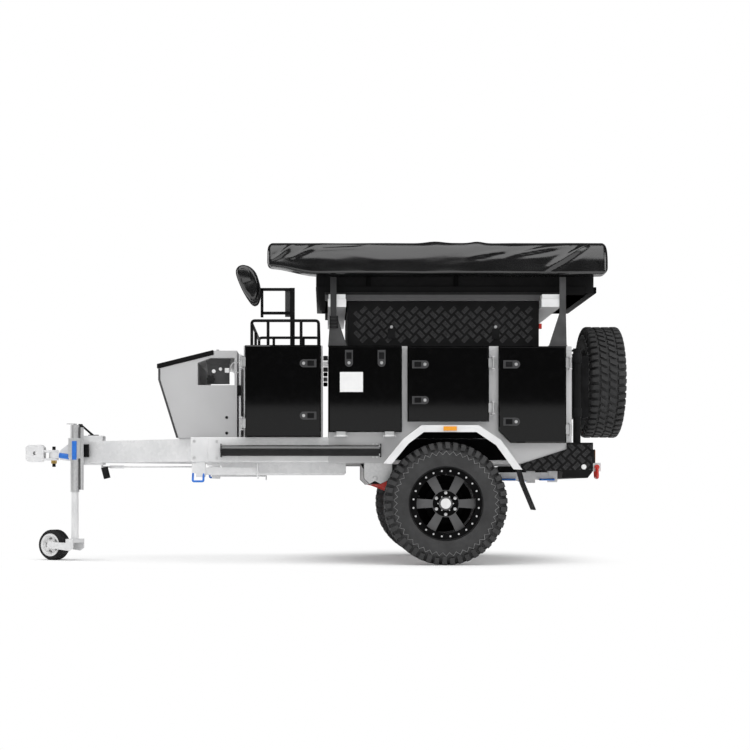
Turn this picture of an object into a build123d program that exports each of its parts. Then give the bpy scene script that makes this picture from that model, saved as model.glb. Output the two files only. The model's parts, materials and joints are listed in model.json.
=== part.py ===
from build123d import *
import math
import os

# Off-road camper trailer with a roof tent and a side awning, in millimetres.
# +X points to the coupling, +Y to the left side, +Z up; the ground is Z = 0 under the trailer's middle.

# Running gear
TYRE_R = 401.5
TYRE_W = 265
LUGS = 46
LUG_H = 14
GROOVE_W = 18
LINER_FACETS = 23  # inside and dished foot of the tyre
SHOULDER = (46, 24)  # fall and width of the sloped shoulder
SIDE_RING = 101  # height of the flat sidewall's inner edge below the tread
CARCASS = 15  # rubber under the lugs
BEAD_T = 24
RIM_R = 216
RIM_HALF = 112
RIM_LIP = 17  # height of the rim's flanges above the bead seat
RIM_LIP_T = 12
RIM_WALL = 12
RING_T = 8  # clamp ring on the outer flange
HUB_R = 88
HUB_Y = (40, 76)
CAP_R = 44
CAP_H = 16
SPOKES = 6
SPOKE_W = (48, 68)
SPOKE_IN = 60
SPOKE_T = 24
SPOKE_Y = 52
RIM_GRIP = 4
DRUM_R = 128
DRUM_Y = (-75, -12)
WHEEL_OUT = 37.5  # wheel's middle outside the body's side
AXLE_X = -786
RIDE_H = 430.5  # top of the main rails above the axle
SEAT_FIT = 0.3  # running clearance at pins, bores and tyre seats

# Body shell
BODY_FRONT = -23
BODY_REAR = -1625
BODY_HALF = 755
BODY_H = 605
WALL = 30
BULKHEAD = 20
BULKHEADS = (263, -322)  # ahead of the axle
POST_HALF = 18  # half the post that shows between two doors
REAR_POST = 31
REAR_EDGE = 41
FLOOR_T = 18
SKIRT = 164
ROOF_T = 27
TUB_D = 125  # depth of the inner wheel arch from the body's side
TUB_T = 8
TUB_END = (7, 11)  # inner wheel arch beyond the mudguard's rear and front ends
BOX_GAP = 39  # open slot between the body and the front box
FRONT_BOX_L = 519
FRONT_BOX_H = 603
FRONT_BOX_WALL = 25

# Chassis
RAIL_IN = 195  # main rail's middle inside the body's side
RAIL_W = 50
RAIL_H = 150
RAIL_WALL = 5
DECK_T = 6
PLATFORM_OUT = 350  # platform ahead of the front box
SIDE_RAIL_W = 55
SIDE_RAIL_H = 158
RUNG_W = 40
RUNG_H = 90
RUNG_EDGE = 10
DRAWBAR_L = 675
ARM_AIM = (100, 5)  # where the arms' middle line points inside the nose
ARM_END = 130
NOSE_L = 200
NOSE_HALF = 78
NOSE_DROP = 165
NOSE_RISE = 40
NOSE_WALL = 8
BRAKE_ROD_R = 6
BRAKE_DROP = 14
BUCKLE = (11, 100, 60)  # turnbuckle's radius, length and place behind the rod's front
ROD_END = (20, 25)
TAB_T = 8
TAB_HALF = 16
LEVER = (98, 84)  # handbrake lever's reach and height
LEVER_BACK = 75
LEVER_T = 12
LEVER_FOOT = (35, 20, 8)
LEVER_GRIP = (14, 12, 74)

# Doors: overlay panels outside the walls
DOOR_GAP = 5
DOOR_T = 40
DOOR_BEVEL = 9
DOOR_LAP = 40
DOOR_LAP_TOP = 60
DOOR_CORNER = 80
DOOR_EDGE = 10  # front doors stop short of the front box's edges
HINGE_ROOT = 20  # front ears reach into the front box
HINGE_WEB = 5
HINGE_SET = 26  # hinge axis beyond the door's edge
HINGE_PROUD = 6  # hinge axis outside the door's face
HINGE_PIN_R = 5
HINGE_IN = (90, 110)  # hinges from the door's lower and upper end
FOLD_HINGE_IN = 82
LEAF_T = 12
LEAF_GRIP = 4
KNUCKLE_R = 9
KNUCKLE_L = 60
EAR_T = 8
EAR_GAP = 5.5
LATCH_L = 110
LATCH_W = 52
LATCH_T = 6
LATCH_IN = 30
LATCH_DOWN = (140, 120)  # latches from the door's lower and upper end
FOLD_LATCH_IN = 134

# Nose box in front of the front box
NOSE_BOX_HALF = 620
NOSE_BOX_WALL = 16
NOSE_BOX_GAP = 53
NOSE_BOX_L = 525
NOSE_BOX_H = 582
NOSE_BOX_RAKE = 120  # foot of the slanted front behind its chin
NOSE_BOX_DECK = 154  # flat deck behind the sloped lid
NOSE_BOX_CHIN = (387, 462)  # lower and upper end of the upright front edge, above the platform
BAY_L = 262
BAY_Z = (352, 534)  # open service bay above the platform
BAY_ROOF = 26
BAY_STEP = 20
LID_T = 28
LID_GAP = 5
LID_LAP = 8
LID_HINGE_IN = 220
LID_LEAF = 45

# Mudguards, mud flaps and lamps
FLARE_W = 175
FLARE_T = 6
FLARE_LIP = 45
FLARE_DEEP = 200
ARCH_INSET = 20
FLAP_IN = 65
FLAP_W = 225
FLAP_T = 8
FLAP_LAP = 60
FLAP_DROP = [(22, 80), (95, 255)]  # rearwards and down from the flare's end
MARKER_L = 86
MARKER_H = 28
MARKER_T = 10
MARKER_BACK = 24

# Suspension
ARM_L = 452
ARM_RISE = 165.5
ARM_W = 70
ARM_H = 84
ARM_TAIL = 70
STUB_R = 30
STUB_OUT = 34
PLATE_R = 132
PLATE_Y = (-92, -81)
PIVOT_R = 15
PIVOT_OUT = 26
HANGER_T = 10
HANGER_GAP = 1
HANGER_X = (-116, 74)
HANGER_FOOT = 37
AIR_R = 66
AIR_FOLD = (18, 14, 30)  # edge, waist and rounding of the bellows
AIR_AHEAD = 161
AIR_SEAT = 118.5
DAMPER_R = 28
DAMPER_ROD_R = 14
DAMPER_GAP = 6
DAMPER_LOW = (70, 40)  # lower eye ahead of the axle and above it
DAMPER_HIGH = (100, 60)  # upper eye behind the axle and above the rail's underside
EYE_R = 20
EYE_IN = 24

# Jockey wheel
MAST_BACK = 17
MAST_OUT = 72
MAST_R = 30
LEG_R = 25
MAST_DOWN = 191
MAST_UP = 71
MAST_CAP = 6
CLAMP_HALF = 40
CLAMP_Z = (43, 183)  # above the drawbar nose's underside
CRANK_R = 16
CRANK_BACK = 44
GRIP_R = 11
GRIP_L = 70
JOCKEY_R = 106
JOCKEY_W = 110
JOCKEY_FACETS = 30
JOCKEY_EDGE = (12, 22)
JOCKEY_TRAIL = 176
JOCKEY_TURN = -27  # degrees that the castor is swung at rest
JOCKEY_HUB_R = 80
JOCKEY_HUB_IN = 4
JOCKEY_DISH = (34, 58, 22)  # inner and outer radius and depth of the hub's dish
JOCKEY_DRAFT = 8
JOCKEY_SLOTS = 5
JOCKEY_SLOT = (16, 30)
JOCKEY_PIN_R = 8
FORK_T = 6
FORK_GAP = 6
FORK_HALF = 32
FORK_EYE = 20
CROWN_T = 26
SWIVEL_Z = 150
SWIVEL_R = 15
SWIVEL_H = 40
LEG_WALL = 4
LEG_IN = 224
LEG_BORE = (42, 50)

# Coupling
KING_OUT = 155
KING_DROP = 97
KING_R = 12
KING_REACH = (82, 62)
NUT_R = 20
NUT_H = 22
BOSS_R = 34
BOSS_H = 40
GUSSET_HALF = 35
GUSSET_IN = 22
GUSSET_TIP = 32
NECK_L = 46
HEAD_GAP = 65
HEAD_L = 126
HEAD_HALF = 52
HEAD_Z = (-47, 73)  # about the boss's middle
HEAD_CHAMFER = 18
HEAD_PLATE = 16
HEAD_BITE = 20
HITCH_R = 13

# Stabiliser legs
LEG_W = 26
LEG_H = 50
LEG_L = 380
LEG_TAIL = 25
LEG_SOLID = 60
LEG_TUBE = 3
FOOT_W = 80
FOOT_H = 100
FOOT_T = 6
LEG_PIN_R = 8
LEG_EAR_HALF = 30
LEG_EAR_T = 6
LEG_EAR_LOW = 40
LEG_TOP_T = 8
FRONT_LEG = (65, 59)  # pivot behind the platform's front and below its side rail
REAR_LEG = (99, 99)  # pivot ahead of the body's rear and below the main rail

# Water tank tray and pole tubes
TANK_X = (185, 117)  # ahead of the front box and behind the body's front
TANK_H = 82
TANK_RAKE = 60
TANK_WALL = 5
POLE_R = 36
POLE_WALL = 4
POLE_SET = 8
POLE_BACK = 201
POLE_DROP = 83
POLE_GAP = 9
POLE_FLANGE = 44

# Rear bumper, swing gate and spare wheel
BUMPER_GAP = 5
BUMPER_D = 134
BUMPER_Z = (-263, -30)  # about the main rails' top
BUMPER_CUT = (36, 46)
BUMPER_WALL = 5
WING_T = 12
WING_UP = (46, 91, 190)
WING_STEP = 64
WING_HEEL = 34
WING_NOSE = 26
WING_HOLE = (61, 73, 17)  # ahead of the bumper's rear, above its underside, radius
TONGUE_L = 180
TONGUE_HALF = 30
TONGUE_UP = 83
TONGUE_HOLE = 150
TONGUE_R = 13
SHACKLE_R = 12
SHACKLE = (16, 36, 48)  # half width, inner and outer half gap
SHACKLE_Z = (-86, -70, 18)
TAIL_LAMP = (22, 250, 90)
TAIL_LAMP_IN = 35
TAIL_LAMP_UP = 99
POST_IN = 40
POST_R = 25
POST_DOWN = 12
STAY_HALF = 12
STAY_Z = (-20, -8)
GATE_BEAM = 50
GATE_WALL = 4
GATE_Z = (168, 528)  # beams above the main rails' top
GATE_FAR = 65
GATE_SLEEVE = 7
GATE_SLEEVE_LAP = 5
GATE_GAP = 2
GATE_BACK = 10
CARRIER_D = 90
CARRIER_HALF = 90
GATE_PLATE = (75, 155)  # plate beside the post, inside the post
SPARE_Y = -300
SPARE_UP = 438
SPARE_GAP = 102.5
SPARE_STUB_R = 60

# Roof load
TOP_BOX_END = (195, 127)
TOP_BOX_IN = 155
TOP_BOX_H = 318
TOP_BOX_WALL = 6
RACK_IN = 35
RACK_T = 8
RACK_H = 460
RACK_H_RIGHT = 363
RACK_KNEE = 223
RACK_FOOT = (28, 8)
BEAM_H = 55
BEAM_WALL = 4
RACK_RAIL_W = 30
RACK_RAIL_H = 55
RACK_RAIL_END = (40, 20)
TENT_L = (225, 83)  # behind and ahead of the body
TENT_IN = 55
TENT_GAP = 18
TENT_SIDE = 285
TENT_H = 380
TENT_WALL = 30
TENT_BOARD = 40
AWNING_L = (235, 403)
AWNING_IN = 2
AWNING_D = 200
AWNING_H = 210
AWNING_ROUND = 70
AWNING_END = 24

# Front rack
BASKET_IN = (17, 35)
BASKET_SIDE = 155
BASKET_H = 192
BASKET_BAR = 20
BASKET_STEP = 200
LADDER_IN = 197
LADDER_REACH = 205
LADDER_Z = (289, 476)
LADDER_POST = 17
BAG_HALF = 150
BAG_UP = 70
BAG = [(0, 0), (75, 0), (175, 230), (140, 270), (50, 240), (0, 100)]

# Worked out from the sizes above
RAIL_TOP = TYRE_R + RIDE_H
RAIL_Z = RAIL_TOP - RAIL_H
RAIL_Y = BODY_HALF - RAIL_IN
DECK_Z = RAIL_TOP + DECK_T
FLOOR_Z = RAIL_TOP + FLOOR_T
ROOF_Z = RAIL_TOP + BODY_H
WALL_TOP = ROOF_Z - ROOF_T
SKIRT_Z = RAIL_TOP - SKIRT
WHEEL_Y = BODY_HALF + WHEEL_OUT
FLANGE_R = RIM_R + RIM_LIP
FLARE_OUT = BODY_HALF + FLARE_W
FRONT_BOX_X = (BODY_FRONT + BOX_GAP, BODY_FRONT + BOX_GAP + FRONT_BOX_L)
FRONT_BOX_TOP = DECK_Z + FRONT_BOX_H
PLATFORM_FRONT = FRONT_BOX_X[1] + PLATFORM_OUT
PLATFORM_Z = RAIL_TOP - SIDE_RAIL_H
NOSE_X = (PLATFORM_FRONT + DRAWBAR_L, PLATFORM_FRONT + DRAWBAR_L + NOSE_L)
NOSE_Z = (RAIL_TOP - NOSE_DROP, RAIL_TOP + NOSE_RISE)
BULKHEAD_X = [AXLE_X + ahead for ahead in BULKHEADS]
DOOR_IN = BODY_HALF + DOOR_GAP
DOOR_OUT = DOOR_IN + DOOR_T
HINGE_Y = DOOR_OUT + HINGE_PROUD
NOSE_BOX_REAR = FRONT_BOX_X[1] + NOSE_BOX_GAP
NOSE_BOX_FRONT = NOSE_BOX_REAR + NOSE_BOX_L
NOSE_BOX_TOP = DECK_Z + NOSE_BOX_H
LID_REAR = NOSE_BOX_REAR + NOSE_BOX_DECK
LID_AXIS = (LID_REAR - KNUCKLE_R - LID_GAP, NOSE_BOX_TOP + KNUCKLE_R + LID_GAP)
LID_HINGES = (NOSE_BOX_HALF - LID_HINGE_IN, LID_HINGE_IN - NOSE_BOX_HALF)
ARM_PIVOT = (AXLE_X + ARM_L, TYRE_R + ARM_RISE)
AIR_X = AXLE_X + AIR_AHEAD
AIR_Z = TYRE_R + AIR_SEAT
MAST_AT = (NOSE_X[1] - MAST_BACK, NOSE_HALF + MAST_OUT)
MAST_Z = (NOSE_Z[0] - MAST_DOWN, NOSE_Z[1] + MAST_UP)
KING_X = NOSE_X[1] + KING_OUT
KING_Z = RAIL_TOP - KING_DROP
HEAD_X = (KING_X + HEAD_GAP, KING_X + HEAD_GAP + HEAD_L)
BUMPER_X = (BODY_REAR - BUMPER_GAP, BODY_REAR - BUMPER_GAP - BUMPER_D)
BUMPER_LOW, BUMPER_HIGH = RAIL_TOP + BUMPER_Z[0], RAIL_TOP + BUMPER_Z[1]
POST_AT = (BODY_REAR - POST_IN, BODY_HALF - POST_IN)
POST_TOP = ROOF_Z - POST_DOWN
SPARE_X = POST_AT[0] - CARRIER_D - SPARE_GAP - TYRE_W / 2
SPARE_AT = (SPARE_X, SPARE_Y, RAIL_TOP + SPARE_UP)
TOP_BOX_X = (BODY_REAR + TOP_BOX_END[0], BODY_FRONT - TOP_BOX_END[1])
TOP_BOX_HALF = BODY_HALF - TOP_BOX_IN
TOP_BOX_TOP = ROOF_Z + TOP_BOX_H
RACK_Y = BODY_HALF - RACK_IN
RACK_TOP = ROOF_Z + RACK_H
BEAM_Z = (TOP_BOX_TOP - BEAM_H, TOP_BOX_TOP)
RACK_RAIL_Z = (TOP_BOX_TOP, TOP_BOX_TOP + RACK_RAIL_H)
AWNING_Y = RACK_Y - AWNING_IN
TENT_X = (BODY_REAR - TENT_L[0], BODY_FRONT + TENT_L[1])
TENT_Y = (TENT_IN - BODY_HALF, AWNING_Y - AWNING_D / 2 - TENT_GAP)
BASKET_X = (FRONT_BOX_X[0] + BASKET_IN[0], FRONT_BOX_X[1] - BASKET_IN[1])
BASKET_HALF = BODY_HALF - BASKET_SIDE
LADDER_X = BASKET_X[0] + LADDER_IN

# Mudguard outline: forward of the axle, above the axle
FLARE = [(409, 260), (276, 422), (160, 509), (-209, 509), (-354, 412), (-493, 220)]
FLARE_END = (AXLE_X + FLARE[-1][0], TYRE_R + FLARE[-1][1])
# Doors: name, front X, rear X, bottom Z, top Z, hinged edge
DOORS = [
    ("front_door", FRONT_BOX_X[1] - DOOR_EDGE, FRONT_BOX_X[0] + DOOR_EDGE, RAIL_TOP + 6, RAIL_TOP + 609, "front"),
    ("fold_door", BODY_FRONT, BULKHEAD_X[0] + POST_HALF, RAIL_TOP + 38, RAIL_TOP + 606, "bottom"),
    ("middle_door", BULKHEAD_X[0] - POST_HALF, BULKHEAD_X[1] + REAR_POST, RAIL_TOP + 107, RAIL_TOP + 602, "rear"),
    ("rear_door", BULKHEAD_X[1] - REAR_POST, BODY_REAR + REAR_EDGE, RAIL_TOP - 34, RAIL_TOP + 602, "rear"),
]
# Rack brackets: foot and stem, low and high X from the body's front or rear end
BRACKETS = [(BODY_FRONT, -123, 3, -50, -13), (BODY_REAR, 28, 147, 33, 75)]
# Cross beams: low and high X from the body's front or rear end
BEAMS = [(BODY_FRONT, -117, 3), (BODY_REAR, 65, 193)]

nodes = {}


def block(x, y, z):
    # box between two X, two Y and two Z planes
    low = [min(p) for p in (x, y, z)]
    span = [max(p) - min(p) for p in (x, y, z)]
    return Pos(*low) * Box(*span, align=(Align.MIN, Align.MIN, Align.MIN))


def box_tube(x, y, z, wall, along):
    # hollow bar, open at both ends along one axis
    spans = [(min(p), max(p)) for p in (x, y, z)]
    inner = [p if name == along else (p[0] + wall, p[1] - wall) for p, name in zip(spans, "xyz")]
    return block(*spans) - block(*inner)


def side_prism(outline, y0, y1):
    # (x, z) outline extruded between two Y planes
    return extrude(Plane.XZ.offset(-max(y0, y1)) * Polygon(*outline, align=None), abs(y1 - y0), dir=(0, -1, 0))


def plan_prism(outline, z0, z1):
    # (x, y) outline extruded between two heights
    return extrude(Plane.XY.offset(z0) * Polygon(*outline, align=None), z1 - z0, dir=(0, 0, 1))


def rod(start, end, radius):
    axis = Vector(*end) - Vector(*start)
    return extrude(Plane(origin=start, z_dir=axis) * Circle(radius), axis.length, dir=axis.normalized())


def pipe(start, end, radius, bore):
    return rod(start, end, radius) - rod(start, end, bore)


def spun(outline):
    # (radius, y) outline turned about the Y axis
    return revolve(Polygon(*outline, align=None), axis=Axis.Y)


def facets(inner, count):
    # corners of a regular outline around the Y axis, by the radius of its flats, with a flat at the bottom
    step = 2 * math.pi / count
    corner = inner / math.cos(step / 2)
    turns = [(i + 0.5) * step - math.pi / 2 for i in range(count)]
    return [(corner * math.cos(a), corner * math.sin(a)) for a in turns]


def faceted(stations, count):
    # (radius, y) stations joined by flat faces around the Y axis
    rings = [[(x, y, z) for x, z in facets(r, count)] for r, y in stations]
    outlines = [rings[0], rings[-1]]
    for low, high in zip(rings, rings[1:]):
        outlines += [(low[i - 1], low[i], high[i], high[i - 1]) for i in range(count)]
    return Part() + Solid(Shell([Face(Wire.make_polygon(outline)) for outline in outlines]))


def panels(part, joins):
    # solids of a left-hand part, cut at the X planes of its joins
    spans = zip(joins, joins[1:])
    return [s for span in spans for s in (part & block(span, (0, FLARE_OUT), (0, ROOF_Z))).solids()]


def both_sides(part):
    return Compound([*part.solids(), *mirror(part, about=Plane.XZ).solids()])


def mirrored(part):
    return mirror(part, about=Plane.XZ)


# Chassis: two hollow main rails with the front platform between and outside them
def chassis_rails():
    across = (RAIL_Y - RAIL_W / 2, RAIL_Y + RAIL_W / 2)
    return both_sides(box_tube((BUMPER_X[0], PLATFORM_FRONT), across, (RAIL_Z, RAIL_TOP), RAIL_WALL, "x"))


def platform():
    length = (BODY_FRONT, PLATFORM_FRONT)
    side_in = BODY_HALF - SIDE_RAIL_W
    part = block(length, (-BODY_HALF, BODY_HALF), (RAIL_TOP, DECK_Z))
    rail = box_tube(length, (side_in, BODY_HALF), (PLATFORM_Z, RAIL_TOP), RAIL_WALL, "x")
    part += rail + mirrored(rail)
    rear, front = BODY_FRONT + RUNG_EDGE, PLATFORM_FRONT - RUNG_EDGE - RUNG_W
    rail_in, rail_out = RAIL_Y - RAIL_W / 2, RAIL_Y + RAIL_W / 2
    for x in (rear, (rear + front) / 2, front):
        for across in ((rail_out, side_in), (-side_in, -rail_out), (-rail_in, rail_in)):
            part += block((x, x + RUNG_W), across, (RAIL_TOP - RUNG_H, RAIL_TOP))
    return part


def arm_plan(inset, rear, front):
    # plan outline of one A-frame arm between two X planes, its sides moved in by the inset
    x0, y0 = PLATFORM_FRONT, RAIL_Y
    x1, y1 = NOSE_X[0] + ARM_AIM[0], NOSE_HALF - RAIL_W / 2 - ARM_AIM[1]
    slope = (y1 - y0) / (x1 - x0)
    half = (RAIL_W / 2 - inset) * math.sqrt(1 + slope * slope)
    at = [y0 + slope * (x - x0) for x in (rear, front)]
    return [(rear, at[0] - half), (front, at[1] - half), (front, at[1] + half), (rear, at[0] + half)]


def drawbar():
    front, t = NOSE_X[0] + ARM_END, RAIL_WALL
    arm = plan_prism(arm_plan(0, PLATFORM_FRONT, front), RAIL_Z, RAIL_TOP)
    arm -= plan_prism(arm_plan(t, PLATFORM_FRONT - t, front - t), RAIL_Z + t, RAIL_TOP - t)
    nose = block(NOSE_X, (-NOSE_HALF, NOSE_HALF), NOSE_Z)
    nose -= block(
        (NOSE_X[0], NOSE_X[1] - NOSE_WALL),
        (-NOSE_HALF + NOSE_WALL, NOSE_HALF - NOSE_WALL),
        (NOSE_Z[0] + NOSE_WALL, NOSE_Z[1] - NOSE_WALL),
    )
    return nose + arm + mirrored(arm)


nodes["chassis_rails"] = chassis_rails()
nodes["platform"] = platform()
nodes["drawbar"] = drawbar()


# Brake line: a lever on the nose, and a rod with a turnbuckle under the drawbar back to the platform
def handbrake_lever():
    x, top = NOSE_X[0] + LEVER_BACK, NOSE_Z[1]
    (reach, height), half = LEVER, LEVER_T / 2
    foot_x, foot_y, foot_t = LEVER_FOOT
    grip_x, grip_y, grip_h = LEVER_GRIP
    part = block((x - foot_x, x + foot_x), (-foot_y, foot_y), (top, top + foot_t))
    arm = [(x - LEVER_T, top), (x + LEVER_T, top), (x + reach, top + height - half)]
    part += side_prism(arm + [(x + reach - LEVER_T, top + height)], -half, half)
    tip = x + reach - half
    return part + block((tip - grip_x, tip + grip_x), (-grip_y, grip_y), (top + height - grip_h, top + height))


def brake_rod():
    z = NOSE_Z[0] - BRAKE_DROP
    front, rear = NOSE_X[0] + ROD_END[0], PLATFORM_FRONT - ROD_END[1]
    buckle_r, buckle_l, back = BUCKLE
    part = rod((rear, 0, z), (front, 0, z), BRAKE_ROD_R)
    part += rod((front - back - buckle_l, 0, z), (front - back, 0, z), buckle_r)
    part += block((front - TAB_T, front), (-TAB_HALF, TAB_HALF), (z - TAB_HALF, NOSE_Z[0]))
    return part + block((rear, rear + TAB_T), (-TAB_HALF, TAB_HALF), (z - TAB_HALF, RAIL_TOP - RUNG_H))


nodes["handbrake_lever"] = handbrake_lever()
nodes["brake_rod"] = brake_rod()


# Coupling: a boss on the nose, and a head that swings on the king pin
def coupling_body():
    root, neck = NOSE_X[1], KING_X - NECK_L
    low, high = KING_Z - BOSS_H / 2, KING_Z + BOSS_H / 2
    gusset = [(root, NOSE_Z[1] - GUSSET_IN), (neck, KING_Z + GUSSET_TIP)]
    gusset += [(neck, KING_Z - GUSSET_TIP), (root, NOSE_Z[0] + GUSSET_IN)]
    part = side_prism(gusset, -GUSSET_HALF, GUSSET_HALF)
    part += block((neck, KING_X), (-BOSS_R, BOSS_R), (low, high))
    part += rod((KING_X, 0, low), (KING_X, 0, high), BOSS_R)
    return part - rod((KING_X, 0, low), (KING_X, 0, high), KING_R + SEAT_FIT)


def coupling_head():
    low, high = KING_Z + HEAD_Z[0], KING_Z + HEAD_Z[1]
    part = block(HEAD_X, (-HEAD_HALF, HEAD_HALF), (low, high))
    part = chamfer(part.edges().filter_by(Axis.Y), HEAD_CHAMFER)
    under = KING_Z - BOSS_H / 2 - SEAT_FIT - HEAD_PLATE
    for z in (KING_Z + BOSS_H / 2 + SEAT_FIT, under):
        part += block((KING_X, HEAD_X[0] + HEAD_BITE), (-BOSS_R, BOSS_R), (z, z + HEAD_PLATE))
        part += rod((KING_X, 0, z), (KING_X, 0, z + HEAD_PLATE), BOSS_R)
    part += rod((KING_X, 0, KING_Z - KING_REACH[0]), (KING_X, 0, KING_Z + KING_REACH[1]), KING_R)
    part += rod((KING_X, 0, under - NUT_H), (KING_X, 0, under), NUT_R)
    x, z = (HEAD_X[0] + HEAD_X[1]) / 2, (low + high) / 2
    return part - rod((x, -HEAD_HALF, z), (x, HEAD_HALF, z), HITCH_R)


nodes["coupling_body"] = coupling_body()
nodes["coupling_head"] = coupling_head()


# Jockey wheel: a clamped mast, a sliding leg, and a castor fork with its wheel
def jockey_mast():
    x, y = MAST_AT
    low, high = MAST_Z
    part = rod((x, y, low), (x, y, high), MAST_R)
    part += rod((x - CRANK_BACK, y, low + CRANK_R), (x - CRANK_BACK, y, high - CRANK_R), CRANK_R)
    clamp_z = (NOSE_Z[0] + CLAMP_Z[0], NOSE_Z[0] + CLAMP_Z[1])
    part += block((x - CLAMP_HALF, x + CLAMP_HALF), (NOSE_HALF, y + CLAMP_HALF), clamp_z)
    grip = x + CLAMP_HALF
    part += rod((grip, y, clamp_z[0] + GRIP_R), (grip + GRIP_L, y, clamp_z[0] + 2 * GRIP_R), GRIP_R)
    return part - rod((x, y, low), (x, y, high - MAST_CAP), LEG_R + SEAT_FIT)


def jockey_leg():
    x, y = MAST_AT
    top = MAST_Z[0] + LEG_IN
    part = rod((x, y, SWIVEL_Z), (x, y, top), LEG_R)
    part -= rod((x, y, SWIVEL_Z + LEG_BORE[1]), (x, y, top), LEG_R - LEG_WALL)
    return part - rod((x, y, SWIVEL_Z), (x, y, SWIVEL_Z + LEG_BORE[0]), SWIVEL_R + SEAT_FIT)


def castor(part):
    # from the castor's own frame, trail along +X and axle along +Y, to its swung place under the mast
    return Pos(*MAST_AT, 0) * Rot(0, 0, JOCKEY_TURN) * part


def jockey_fork():
    inner = JOCKEY_W / 2 + FORK_GAP
    outer = inner + FORK_T
    top = SWIVEL_Z - SEAT_FIT
    part = block((-FORK_HALF, FORK_HALF), (-outer, outer), (top - CROWN_T, top))
    part += rod((0, 0, top - CROWN_T), (0, 0, SWIVEL_Z + SWIVEL_H), SWIVEL_R)
    cheek = [(-FORK_HALF, top - CROWN_T), (FORK_HALF, top - CROWN_T), (JOCKEY_TRAIL, JOCKEY_R + FORK_EYE)]
    cheek += [(JOCKEY_TRAIL + FORK_EYE, JOCKEY_R), (JOCKEY_TRAIL, JOCKEY_R - FORK_EYE)]
    cheek += [(0, JOCKEY_R - 2 * FORK_EYE), (-FORK_HALF, JOCKEY_R - FORK_EYE)]
    arm = side_prism(cheek, inner, outer)
    part += arm + mirrored(arm)
    return castor(part + rod((JOCKEY_TRAIL, -outer, JOCKEY_R), (JOCKEY_TRAIL, outer, JOCKEY_R), JOCKEY_PIN_R))


def jockey_hub():
    half = JOCKEY_W / 2 - JOCKEY_HUB_IN
    inner, outer, depth = JOCKEY_DISH
    face = [(JOCKEY_PIN_R + SEAT_FIT, half), (inner - JOCKEY_DRAFT, half), (inner, half - depth)]
    face += [(outer, half - depth), (outer + JOCKEY_DRAFT, half), (JOCKEY_HUB_R, half)]
    part = spun(face + [(r, -y) for r, y in reversed(face)])
    middle, (width, length) = (inner + outer) / 2, JOCKEY_SLOT
    slot = block((middle - width / 2, middle + width / 2), (-half, half), (-length / 2, length / 2))
    part -= [Rot(0, 360 / JOCKEY_SLOTS * i, 0) * slot for i in range(JOCKEY_SLOTS)]
    return castor(Pos(JOCKEY_TRAIL, 0, JOCKEY_R) * part)


def jockey_tyre():
    half, (fall, slope) = JOCKEY_W / 2, JOCKEY_EDGE
    edge = [(JOCKEY_R, half - slope), (JOCKEY_R - fall, half)]
    part = faceted([(r, -y) for r, y in reversed(edge)] + edge, JOCKEY_FACETS)
    seat = JOCKEY_HUB_R + SEAT_FIT
    part -= faceted([(seat, -half), (seat, half)], JOCKEY_FACETS)
    return castor(Pos(JOCKEY_TRAIL, 0, JOCKEY_R) * part)


nodes["jockey_mast"] = jockey_mast()
nodes["jockey_leg"] = jockey_leg()
nodes["jockey_fork"] = jockey_fork()
nodes["jockey_hub"] = jockey_hub()
nodes["jockey_tyre"] = jockey_tyre()


# Road wheels, in their own frame: axle along +Y, outer face at +Y
def sidewall_y(radius):
    # outer face of the sidewall's dished foot, from the bead to the flat ring
    bead = RIM_HALF - RIM_LIP_T
    return bead + (radius - RIM_R) * (TYRE_W / 2 - bead) / (TYRE_R - SIDE_RING - RIM_R)


def groove():
    # cross groove between two rows of lugs: level under the tread, running out through both shoulders
    side, (fall, slope) = TYRE_W / 2, SHOULDER
    floor, foot = TYRE_R - LUG_H, TYRE_R - fall - LUG_H / 2
    level = side - slope - LUG_H / 2
    line = [(TYRE_R + LUG_H, side), (foot, side), (floor, level)]
    return plan_prism(line + [(r, -y) for r, y in reversed(line)], -GROOVE_W / 2, GROOVE_W / 2)


def tyre():
    side, (fall, slope) = TYRE_W / 2, SHOULDER
    bead, seat = RIM_HALF - RIM_LIP_T, RIM_R + SEAT_FIT
    edge = [(TYRE_R, side - slope), (TYRE_R - fall, side)]
    part = faceted([(r, -y) for r, y in reversed(edge)] + edge, LUGS)
    part -= faceted([(seat, -side), (seat, side)], LINER_FACETS)
    # room for air between the sidewalls, which lean in to the beads
    liner, wide = TYRE_R - LUG_H - CARCASS, side - slope - CARCASS / 2
    air = faceted([(liner, -wide), (liner, wide)], LINER_FACETS)
    air -= faceted([(seat, bead - BEAD_T), (liner, wide)], LINER_FACETS)
    air -= faceted([(liner, -wide), (seat, BEAD_T - bead)], LINER_FACETS)
    dish = faceted([(seat, sidewall_y(seat)), (TYRE_R - SIDE_RING, side)], LINER_FACETS)
    part -= [air, dish, mirrored(dish)]
    turns = [360 / LUGS * (i + 0.5) + 90 for i in range(LUGS)]
    return part - [Rot(0, turn, 0) * groove() for turn in turns]


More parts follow.
